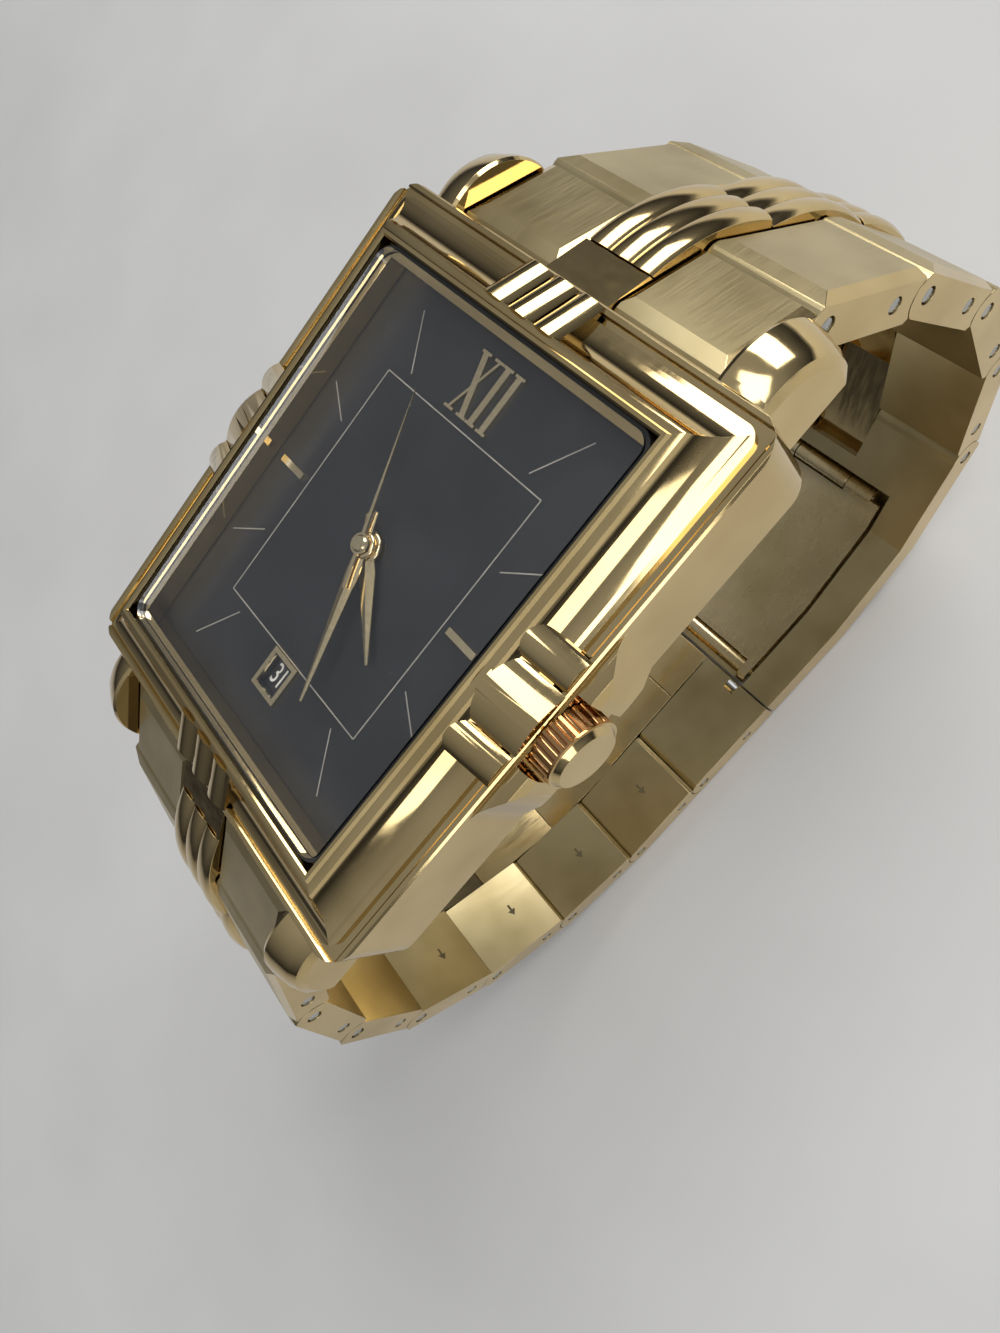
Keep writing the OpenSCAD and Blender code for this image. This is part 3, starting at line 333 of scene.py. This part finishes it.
def broken_edges(node_name, width, finish, sideways_finish):
    """Puts a copy with rounded edges in a solid's place, with a finish of its own on the sides."""
    form = bmesh.new()
    form.from_mesh(frame["nodes"][node_name].data)
    bmesh.ops.remove_doubles(form, verts=form.verts, dist=SAME_PLACE)
    bmesh.ops.dissolve_limit(form, angle_limit=FLAT_WITHIN, verts=form.verts, edges=form.edges)
    mesh = bpy.data.meshes.new(node_name + "_polished")
    form.to_mesh(mesh)
    form.free()
    piece = bpy.data.objects.new(node_name + "_polished", mesh)
    bpy.context.collection.objects.link(piece)
    mesh.materials.append(finish)
    mesh.materials.append(sideways_finish)
    for face in mesh.polygons:
        face.material_index = 1 if abs(face.normal.x) > SIDEWAYS else 0
        face.use_smooth = True
    rounding = piece.modifiers.new("broken_edges", "BEVEL")
    rounding.width = width
    rounding.segments = ROUNDING_STEPS
    rounding.limit_method = "ANGLE"
    rounding.angle_limit = SHARP_OVER
    mesh.set_sharp_from_angle(angle=CREASE_OVER)
    flatten = piece.modifiers.new("flat_faces_stay_flat", "WEIGHTED_NORMAL")
    flatten.mode = "FACE_AREA"
    flatten.weight = FACE_WEIGHT
    flatten.keep_sharp = True
    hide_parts(node_name)
    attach(piece, body_of_node[node_name])


print("edges are broken by mm:", round(EDGE / MM, 2))

# %% [markdown]
# The outer links and the clasp's cover are brushed on top and polished on their sides, as the real
# ones are: the sides are finished on a wheel after the brushing. The case takes a wider rounding than
# the rest, because it is polished the most.

# %% Break the edges of the visible solids
outer_links = sorted(name for name in frame["nodes"] if name.startswith("outer_"))
for node_name in outer_links + ["clasp_cover"]:
    broken_edges(node_name, EDGE, brushed_gold, link_polish)
broken_edges("crown", EDGE / 2, crown_gold, case_gold)
broken_edges("middle_blade", EDGE / 2, blade_gold, blade_gold)
broken_edges("inner_blade", EDGE / 2, blade_gold, blade_gold)
broken_edges("case_body", 2 * EDGE, case_gold, case_gold)
broken_edges("bezel", EDGE, bezel_gold, bezel_gold)
print("pairs of outer links with broken edges:", len(outer_links))

# %% [markdown]
# Small parts below are built straight from points. One helper turns points and faces into an
# object, so each later cell only says what is special about its piece. Turned parts, such as a pin
# or the boss of a hand, are rings of points, and a second helper joins the rings with faces.

# %% Build a piece from points
def from_points(name, points, faces, finish, body, smooth=False):
    """One piece of the watch, which moves with a body and takes a finish."""
    mesh = bpy.data.meshes.new(name)
    mesh.from_pydata([tuple(point) for point in points], [], faces)
    form = bmesh.new()
    form.from_mesh(mesh)
    bmesh.ops.recalc_face_normals(form, faces=form.faces)
    form.to_mesh(mesh)
    form.free()
    for face in mesh.polygons:
        face.use_smooth = smooth
    mesh.materials.append(finish)
    piece = bpy.data.objects.new(name, mesh)
    bpy.context.collection.objects.link(piece)
    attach(piece, body)
    return piece


def turned_faces(rings, sides):
    """The faces of a turned part: a round cap at each end, and a belt between each two rings."""
    faces = [tuple(range(sides)), tuple(range((rings - 1) * sides, rings * sides))]
    for ring in range(rings - 1):
        for k in range(sides):
            a = ring * sides + k
            b = ring * sides + (k + 1) % sides
            faces.append((a, b, b + sides, a + sides))
    return faces


print("faces of a turned part with 4 rings of 24 points:", len(turned_faces(4, 24)))

# %% [markdown]
# Every row of the bracelet hangs on a hinge, and the frame says where each hinge is. A row's three
# directions follow from its own hinge and the next one, so nothing about the bracelet's curve has to
# be typed in. On the real watch a centre link turns on two pins. Here it leans by half of the bend
# that follows it, which is how the two pins would leave it.

# %% Where the rows stand
hinge_place = {joint["name"]: Vector(joint["pos_m"]) for joint in frame["joints"] if "pos_m" in joint}
ROWS = {side: sum(name.startswith(f"outer_{side}_") for name in outer_links) for side in ("12", "6")}
PITCH = (hinge_place["hinge_12_3"] - hinge_place["hinge_12_2"]).length
LINK_ABOVE = 1.5 * MM
LINK_BELOW = 1.4 * MM
LINK_GAP = 0.1 * MM
TAIL_R = 4.3 * MM
LUG_R = 2.2 * MM
BENDS = 7


def row_axes(side, row):
    """The place of a row's hinge, its way to the next hinge, its outward way, and its length."""
    start = hinge_place[f"hinge_{side}_{row}"]
    after = hinge_place.get(f"hinge_{side}_{row + 1}")
    ahead = (after - start).normalized() if after else Vector((0, 1, 0))
    outward = Vector((1, 0, 0)).cross(ahead) if side == "12" else ahead.cross(Vector((1, 0, 0)))
    return start, ahead, outward, (after - start).length if after else PITCH


def lean_of(row):
    """Half of the bend that follows a row. Both sides of the loop bend alike."""
    if row > BENDS:
        return 0.0
    return row_axes("6", row)[1].angle(row_axes("6", row + 1)[1]) / 2


def front_radius(row):
    """How far a centre link's front stands from its hinge. The first one meets the case's lug."""
    return (LUG_R if row == 1 else TAIL_R) + LINK_GAP


print("rows on each side:", ROWS)

# %% [markdown]
# Seen from the side, a centre link is thin at both ends like a lens, and three rounded ridges run
# along it. Its height is therefore the lens's height less the ridge's own fall. The ends are arcs
# about the hinges, so neighbours can turn without touching. Where the top meets such an arc has no
# short formula, so the gap between two guesses is halved until it is closed.

# %% The top of a centre link
LENS_DROP = 0.9 * MM
LENS_R = ((PITCH / 2) ** 2 + LENS_DROP ** 2) / (2 * LENS_DROP)
FIRST_RISE = 0.6 * MM
LAST_RISE = -0.12 * MM
RIDGES = 3
RIDGE_DEPTH = 0.36 * MM
RIDGE_ROUND = 0.96
STEPS_RIDGE = 8
ACROSS_STEPS = RIDGES * STEPS_RIDGE
HALVINGS = 30


def ridge_fall(k):
    """How far the top lies below the ridges at the line k across the link."""
    ridge = (k % STEPS_RIDGE) / STEPS_RIDGE * 2 - 1 if k < ACROSS_STEPS else 1
    return RIDGE_DEPTH * (1 - math.sqrt(1 - ridge * ridge * RIDGE_ROUND))


def top_of(row, length, last):
    """The height of a link's top along the link. The last link is flat, the others are like a lens."""
    lens_middle = (front_radius(row) + TAIL_R - length) / 2
    crest = LINK_ABOVE + FIRST_RISE - (FIRST_RISE - LAST_RISE) * min(1, (row - 1) / (BENDS - 1))

    def top(along, fall):
        if last:
            return LINK_ABOVE - fall
        return crest - LENS_R + math.sqrt(LENS_R ** 2 - (along - lens_middle) ** 2) - fall

    return top


def meet(top, fall, hinge, radius, near, far):
    """Where the top comes to a given distance from a hinge, between near and far."""
    for _ in range(HALVINGS):
        middle = (near + far) / 2
        if (Vector((middle, top(middle, fall))) - hinge).length < radius:
            near = middle
        else:
            far = middle
    return near


print("radius of the lens in mm:", round(LENS_R / MM, 1))

# %% [markdown]
# The link itself is a grid of points: one direction follows the link, the other crosses the ridges.
# Displacing a subdivided box would give the same ridges, but not the clean arcs at both ends. All
# links have the same faces and differ in their points alone, so the faces are numbered once.

# %% Faces of a centre link
STEPS_LONG = 22
LINE = ACROSS_STEPS + 1


def link_faces():
    """The faces of a centre link: the ridged top, both ends and the flat inside, then the sides."""
    faces = []
    for step in range(STEPS_LONG):
        for k in range(ACROSS_STEPS):
            a = step * LINE + k
            faces.append((a, a + 1, a + LINE + 1, a + LINE))
    top_last = STEPS_LONG * LINE
    base = top_last + LINE
    mids = base + 2 * LINE
    for k in range(ACROSS_STEPS):
        faces.append((k, k + 1, mids + k + 1, mids + k))
        faces.append((mids + k, mids + k + 1, base + k + 1, base + k))
        faces.append((top_last + k + 1, top_last + k, mids + LINE + k, mids + LINE + k + 1))
        faces.append((mids + LINE + k + 1, mids + LINE + k, base + LINE + k, base + LINE + k + 1))
        faces.append((base + k, base + k + 1, base + LINE + k + 1, base + LINE + k))
    for edge in (0, ACROSS_STEPS):
        rim = [step * LINE + edge for step in range(STEPS_LONG + 1)]
        rim += [mids + LINE + edge, base + LINE + edge, base + edge, mids + edge]
        faces.append(tuple(rim))
    return faces


print("faces of a centre link:", len(link_faces()))

# %% [markdown]
# Now each link gets its points. The lines of the grid are closer together near the ends, where they
# have to follow the arcs, and a bevel breaks the edges as on the other links.

# %% Build the centre links
CENTRE_WIDTH = 4.96 * MM
LINK_SHARP_OVER = math.radians(50)


def centre_link(side, row, last):
    """A centre link. Along it, all is counted from the hinge of the next row, back to its own."""
    start, straight, upright, length = row_axes(side, row)
    lean = lean_of(row)
    next_hinge = start + straight * length
    ahead = straight * math.cos(lean) - upright * math.sin(lean)
    outward = upright * math.cos(lean) + straight * math.sin(lean)
    own_hinge = Vector((-length * math.cos(lean), -length * math.sin(lean)))
    front_r = front_radius(row)
    top = top_of(row, length, last)
    points = []

    def add_point(along, height, k):
        x = (k / ACROSS_STEPS - 0.5) * CENTRE_WIDTH
        points.append(next_hinge + ahead * along + outward * height + Vector((x, 0, 0)))

    falls = [ridge_fall(k) for k in range(LINE)]
    lows = [meet(top, fall, own_hinge, front_r, own_hinge.x, 0) for fall in falls]
    if last:
        highs = [-LINK_GAP] * LINE
    else:
        highs = [meet(top, fall, Vector((0, 0)), TAIL_R, 0, TAIL_R) for fall in falls]
    for step in range(STEPS_LONG + 1):
        ease = 0.5 - 0.5 * math.cos(math.pi * step / STEPS_LONG)
        for k in range(LINE):
            along = lows[k] + (highs[k] - lows[k]) * ease
            add_point(along, top(along, falls[k]), k)
    for height in (-LINK_BELOW, 0.0):
        low = own_hinge.x + math.sqrt(front_r ** 2 - (height - own_hinge.y) ** 2)
        high = -LINK_GAP if last else math.sqrt(TAIL_R ** 2 - height ** 2)
        for along in (low, high):
            for k in range(LINE):
                add_point(along, height, k)

    name = f"ridged_{side}_{row}"
    body = f"row_{side}_{row}"
    piece = from_points(name, points, link_faces(), link_polish, body, True)
    rounding = piece.modifiers.new("broken_edges", "BEVEL")
    rounding.width = EDGE / 2
    rounding.segments = ROUNDING_STEPS
    rounding.limit_method = "ANGLE"
    rounding.angle_limit = LINK_SHARP_OVER
    rounding.harden_normals = True
    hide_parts(f"centre_{side}_{row}")


for side, rows in ROWS.items():
    for row in range(1, rows + 1):
        centre_link(side, row, side == "6" and row == rows)
print("centre links:", sum(ROWS.values()))

# %% [markdown]
# The pins are hidden but for their ends, which show as small round dots on the sides of the links.
# They come with a tiny chamfer, because a pin is driven in.

# %% Pins
PIN_SIDES = 24
PIN_CHAMFER = 0.12 * MM
PIN_TIP = 0.75
PIN_R = 0.5 * MM
PIN_HALF = 10.2 * MM
CASE_PIN_HALF = 12.2 * MM
CATCH_PIN_AHEAD = 8.9 * MM
CATCH_PIN_INWARD = 0.95 * MM
CATCH_PIN_HALF = 7.1 * MM
CATCH_PIN_R = 0.4 * MM


def pin(name, middle, half_length, radius, body):
    """A round pin across the bracelet with a chamfer at both ends."""
    shoulder = half_length - PIN_CHAMFER
    rings = ((-half_length, PIN_TIP), (-shoulder, 1), (shoulder, 1), (half_length, PIN_TIP))
    points = []
    for x, share in rings:
        for k in range(PIN_SIDES):
            turn = 2 * math.pi * k / PIN_SIDES
            y = radius * share * math.cos(turn)
            z = radius * share * math.sin(turn)
            points.append(middle + Vector((x, y, z)))
    from_points(name, points, turned_faces(len(rings), PIN_SIDES), steel, body, True)


for side, rows in ROWS.items():
    for row in range(1, rows + 1):
        start, ahead, outward, length = row_axes(side, row)
        body = f"row_{side}_{row}"
        between = (front_radius(row) + length - LINK_ABOVE - LINK_GAP) / 2
        pin(f"fixed_pin_{side}_{row}", start + ahead * between, PIN_HALF, PIN_R, body)
        if row == 1:
            pin(f"case_pin_{side}", start, CASE_PIN_HALF, PIN_R, body)
        if side == "6" and row == rows:
            catch = start + ahead * CATCH_PIN_AHEAD - outward * CATCH_PIN_INWARD
            pin("catch_pin", catch, CATCH_PIN_HALF, CATCH_PIN_R, body)
        else:
            pin(f"hinge_pin_{side}_{row}", start + ahead * length, PIN_HALF, PIN_R, body)

# %% [markdown]
# The rows that can be taken out to fit a wrist carry a small etched arrow on the inner face of each
# outer link, which says which way the pin is pushed. An etched mark is shallow and dull, so each
# arrow is a very thin plate of a darker finish that lies on the link.

# %% Arrows inside the links
SHAFT_LENGTH = 0.60
SHAFT_HALF = 0.10
HEAD_LENGTH = 0.60
HEAD_HALF = 0.42
ARROW_OUTLINE = (
    (-SHAFT_LENGTH, SHAFT_HALF), (-SHAFT_LENGTH, -SHAFT_HALF), (0, -SHAFT_HALF), (0, -HEAD_HALF),
    (HEAD_LENGTH, 0), (0, HEAD_HALF), (0, SHAFT_HALF),
)
ARROW_FROM_MIDDLE = 6.4
ARROW_THICK = 0.015 * MM
ARROW_ROWS = range(5, 9)
etched = plain_stuff("etched_gold", (0.13, 0.10, 0.045), (0.17, 0.13, 0.06), (0.5, 0.6), 900, 1e-6)


def arrows(row):
    """The two arrows of one row, left and right of its centre link, in one piece."""
    start, ahead, outward, length = row_axes("6", row)
    middle = start + ahead * length / 2 - outward * LINK_BELOW
    corners = len(ARROW_OUTLINE)
    points, faces = [], []
    for side_x in (-ARROW_FROM_MIDDLE, ARROW_FROM_MIDDLE):
        base = len(points)
        for depth in (0, ARROW_THICK):
            for x, y in ARROW_OUTLINE:
                across = Vector(((side_x + x) * MM, 0, 0))
                points.append(middle + across + ahead * y * MM - outward * depth)
        faces.append(tuple(base + k for k in range(corners)))
        faces.append(tuple(base + corners + k for k in range(corners)))
        for k in range(corners):
            after = (k + 1) % corners
            faces.append((base + k, base + after, base + corners + after, base + corners + k))
    from_points(f"arrows_6_{row}", points, faces, etched, f"row_6_{row}")


for row in ARROW_ROWS:
    arrows(row)
print("rows with arrows:", len(ARROW_ROWS))

# %% [markdown]
# A hand has a round boss in the middle, a bush that grips its arbor. It is a turned part like a pin,
# but it stands upright on the dial.

# %% Boss of a hand
BOSS_SIDES = 40
BOSS_EDGE = 0.12
BOSS_BELOW = 0.02
BOSS_STEP = 0.07


def boss(name, radius, level, body):
    """The round bush of a hand, with both its edges sloped."""
    radii = (radius - BOSS_EDGE, radius, radius, radius - BOSS_EDGE)
    points = []
    for ring, ring_r in enumerate(radii):
        height = level - BOSS_BELOW + ring * BOSS_STEP
        for k in range(BOSS_SIDES):
            way = 2 * math.pi * k / BOSS_SIDES
            points.append(over_dial(ring_r * math.cos(way), ring_r * math.sin(way), height))
    from_points(name, points, turned_faces(len(radii), BOSS_SIDES), hand_gold, body, True)


print("height of a boss in mm:", round(3 * BOSS_STEP, 2))

# %% [markdown]
# The hour and minute hands are long kites folded along the middle, so one half is bright while the
# other is dark. The CAD hand is flat. Here the fold is a raised ridge line, which is highest where
# the kite is widest. Six points low, six at the rim and three on the ridge are all that it needs.

# %% Hands
HAND_THICK = 0.14
TIP_HALF = 0.09
TAIL_HALF = 0.14
TAIL_END = 2.0
KITE_WIDEST = 1.6
RIM_SHARE = 0.5
TIP_SHARE = 0.6
TAIL_SHARE = 0.8
RIDGE_FROM_TIP = 0.05
RIDGE_FROM_TAIL = 0.1
HOUR_ANGLE = 133.4
MINUTE_ANGLE = 160.9
HOUR_LEVEL = 0.34
MINUTE_LEVEL = 0.68


def kite(name, node_name, body, angle, length, half_width, ridge, level):
    """A folded kite that points angle degrees clockwise from 12, level above the dial."""
    turn = math.radians(-angle)

    def spin(x, y, z):
        turned_x = x * math.cos(turn) - y * math.sin(turn)
        turned_y = x * math.sin(turn) + y * math.cos(turn)
        return over_dial(turned_x, turned_y, z)

    outline = [
        (TIP_HALF, length), (half_width, KITE_WIDEST), (TAIL_HALF, -TAIL_END),
        (-TAIL_HALF, -TAIL_END), (-half_width, KITE_WIDEST), (-TIP_HALF, length),
    ]
    low = [spin(x, y, level) for x, y in outline]
    rim = [spin(x, y, level + HAND_THICK * RIM_SHARE) for x, y in outline]
    crest = [
        spin(0, length - RIDGE_FROM_TIP, level + HAND_THICK * TIP_SHARE),
        spin(0, KITE_WIDEST, level + HAND_THICK + ridge),
        spin(0, -TAIL_END + RIDGE_FROM_TAIL, level + HAND_THICK * TAIL_SHARE),
    ]
    faces = [
        (0, 1, 2, 3, 4, 5), (6, 7, 13, 12), (7, 8, 14, 13), (8, 9, 14),
        (9, 10, 13, 14), (10, 11, 12, 13), (11, 6, 12),
    ]
    for k in range(6):
        faces.append((k, (k + 1) % 6, 6 + (k + 1) % 6, 6 + k))
    blade = from_points(name, low + rim + crest, faces, hand_gold, body)
    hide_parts(node_name)


kite(
    "hour_kite", "hour_hand", "hour_set",
    HOUR_ANGLE, length=6.75, half_width=0.56, ridge=0.10, level=HOUR_LEVEL,
)
boss("hour_kite_hub", 1.0, HOUR_LEVEL, "hour_set")
kite(
    "minute_kite", "minute_hand", "minute_set",
    MINUTE_ANGLE, length=9.4, half_width=0.50, ridge=0.08, level=MINUTE_LEVEL,
)
boss("minute_kite_hub", 0.82, MINUTE_LEVEL, "minute_set")
print("degrees from 12 to the hour and minute hand:", HOUR_ANGLE, MINUTE_ANGLE)

# %% [markdown]
# The printed lines lie on the lacquer: a thin rectangle, and two short lines in each corner of the
# dial. Print has a real thickness, about a hundredth of a millimetre, so each line is a very flat
# bar and not a picture.

# %% Printed lines
PRINT_W = 0.075
PRINT_H = 0.012
BAR_FACES = ((0, 1, 2, 3), (7, 6, 5, 4), (0, 4, 5, 1), (1, 5, 6, 2), (2, 6, 7, 3), (3, 7, 4, 0))
BOX_X = 6.96
BOX_Y = 8.15
SHORT_LINES = (((5.35, 8.8), (7.4, 12.0)), ((7.7, 4.05), (10.0, 5.6)))


def printed_line(points, faces, x0, y0, x1, y1):
    """Adds one flat bar, from one point of the dial to another, to the lists."""
    way = Vector((x1 - x0, y1 - y0)).normalized()
    side = Vector((-way.y, way.x)) * PRINT_W / 2
    base = len(points)
    for z in (0.0, PRINT_H):
        for x, y, sign in ((x0, y0, 1), (x1, y1, 1), (x1, y1, -1), (x0, y0, -1)):
            points.append(over_dial(x + side.x * sign, y + side.y * sign, z))
    faces += [tuple(base + corner for corner in face) for face in BAR_FACES]


line_points, line_faces = [], []
box_corners = ((-BOX_X, -BOX_Y), (BOX_X, -BOX_Y), (BOX_X, BOX_Y), (-BOX_X, BOX_Y))
for k, corner in enumerate(box_corners):
    printed_line(line_points, line_faces, *corner, *box_corners[(k + 1) % 4])
for sx in (-1, 1):
    for sy in (-1, 1):
        for (x0, y0), (x1, y1) in SHORT_LINES:
            printed_line(line_points, line_faces, sx * x0, sy * y0, sx * x1, sy * y1)
from_points("printed_lines", line_points, line_faces, print_ink, "case")
print("printed lines:", len(line_points) // 8)

# %% [markdown]
# The date disc carries the numbers 1 to 31 in a ring, each upright when it stands in the window at
# 6 o'clock. A number is drawn by Blender's own font, made narrower, turned into a mesh, and set on
# the disc.

# %% Date numbers
DATES = 31
DATE_R = 9.65
DISC_TOP = -0.49
DISC_TURN = math.radians(1.4)
NUMBER_SIZE = 1.9 * MM
NUMBER_THICK = 0.01 * MM
NUMBER_SPACING = 0.9
NUMBER_NARROW = 0.66
for number in range(1, DATES + 1):
    letters = bpy.data.curves.new(f"date_{number}", "FONT")
    letters.body = str(number)
    letters.align_x = "CENTER"
    letters.align_y = "CENTER"
    letters.size = NUMBER_SIZE
    letters.space_character = NUMBER_SPACING
    letters.extrude = NUMBER_THICK
    sample = bpy.data.objects.new(f"date_curve_{number}", letters)
    bpy.context.collection.objects.link(sample)
    bpy.context.view_layer.update()
    evaluated = sample.evaluated_get(bpy.context.evaluated_depsgraph_get())
    mesh = bpy.data.meshes.new_from_object(evaluated)
    bpy.data.objects.remove(sample)
    mesh.materials.clear()
    mesh.materials.append(white_ink)
    digit = bpy.data.objects.new(f"date_{number}", mesh)
    bpy.context.collection.objects.link(digit)
    way = 2 * math.pi * (number % DATES) / DATES + DISC_TURN
    digit.matrix_world = (
        Matrix.Translation(over_dial(0, 0, DISC_TOP)) @ Matrix.Rotation(-way, 4, "Z")
        @ Matrix.Translation(Vector((0, -DATE_R * MM, 0))) @ Matrix.Diagonal((NUMBER_NARROW, 1, 1, 1))
    )
    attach(digit, "date_disc")
print("date numbers:", DATES)

# %% [markdown]
# The watch stands on a plain pale table, which its mirrors show from below. The floor is one large
# plane. Its colour makes it pale, so no lamp has to be strong.

# %% Floor
FLOOR_HALF = 3.0
floor_form = bmesh.new()
bmesh.ops.create_grid(floor_form, x_segments=1, y_segments=1, size=FLOOR_HALF)
floor_mesh = bpy.data.meshes.new("floor")
floor_form.to_mesh(floor_mesh)
floor_form.free()
floor_pale = plain_stuff("floor_pale", (0.66, 0.65, 0.63), (0.70, 0.69, 0.67), (0.7, 0.8), 30, 1e-5)
floor_mesh.materials.append(floor_pale)
floor = bpy.data.objects.new("floor", floor_mesh)
bpy.context.collection.objects.link(floor)
print("floor's width in metres:", 2 * FLOOR_HALF)

# %% [markdown]
# A mirror shows the lamp itself, so the lamps are large soft panels. The world around them is a grey
# dome, dark at the horizon and brighter overhead: gold needs something dark to show, or it looks
# like yellow plastic.

# %% World and lamps
HORIZON = (0.035, 0.035, 0.04, 1)
OVERHEAD = (0.34, 0.35, 0.37, 1)
HORIZON_AT = 0.05
OVERHEAD_AT = 0.9
PANELS = (
    ("key_panel", (-0.10, 0.48, 0.42), (0.50, 0.30), 2.2),
    ("fill_panel", (0.50, -0.10, 0.30), (0.30, 0.30), 0.7),
    ("top_panel", (0.15, 0.10, 0.60), (0.30, 0.30), 0.9),
)

world = bpy.data.worlds.new("studio")
bpy.context.scene.world = world
world.use_nodes = True
world_nodes = world.node_tree.nodes
world_links = world.node_tree.links
sky_way = world_nodes.new("ShaderNodeTexCoord")
sky_parts = world_nodes.new("ShaderNodeSeparateXYZ")
sky_tone = world_nodes.new("ShaderNodeValToRGB")
for stop, position, colour in zip(
    sky_tone.color_ramp.elements, (HORIZON_AT, OVERHEAD_AT), (HORIZON, OVERHEAD)
):
    stop.position = position
    stop.color = colour
world_links.new(sky_way.outputs["Generated"], sky_parts.inputs["Vector"])
world_links.new(sky_parts.outputs["Z"], sky_tone.inputs["Fac"])
world_links.new(sky_tone.outputs["Color"], world_nodes["Background"].inputs["Color"])
world_nodes["Background"].inputs["Strength"].default_value = 1.0

watch_middle = Vector((0, 0, DIAL_Z / 2))
for name, place, size, power in PANELS:
    lamp = bpy.data.lights.new(name, "AREA")
    lamp.shape = "RECTANGLE"
    lamp.size, lamp.size_y = size
    lamp.energy = power
    panel = bpy.data.objects.new(name, lamp)
    bpy.context.collection.objects.link(panel)
    panel.location = place
    panel.rotation_euler = (watch_middle - Vector(place)).to_track_quat("-Z", "Y").to_euler()
bpy.context.scene.view_settings.view_transform = "Standard"
print("lamps:", len(PANELS))
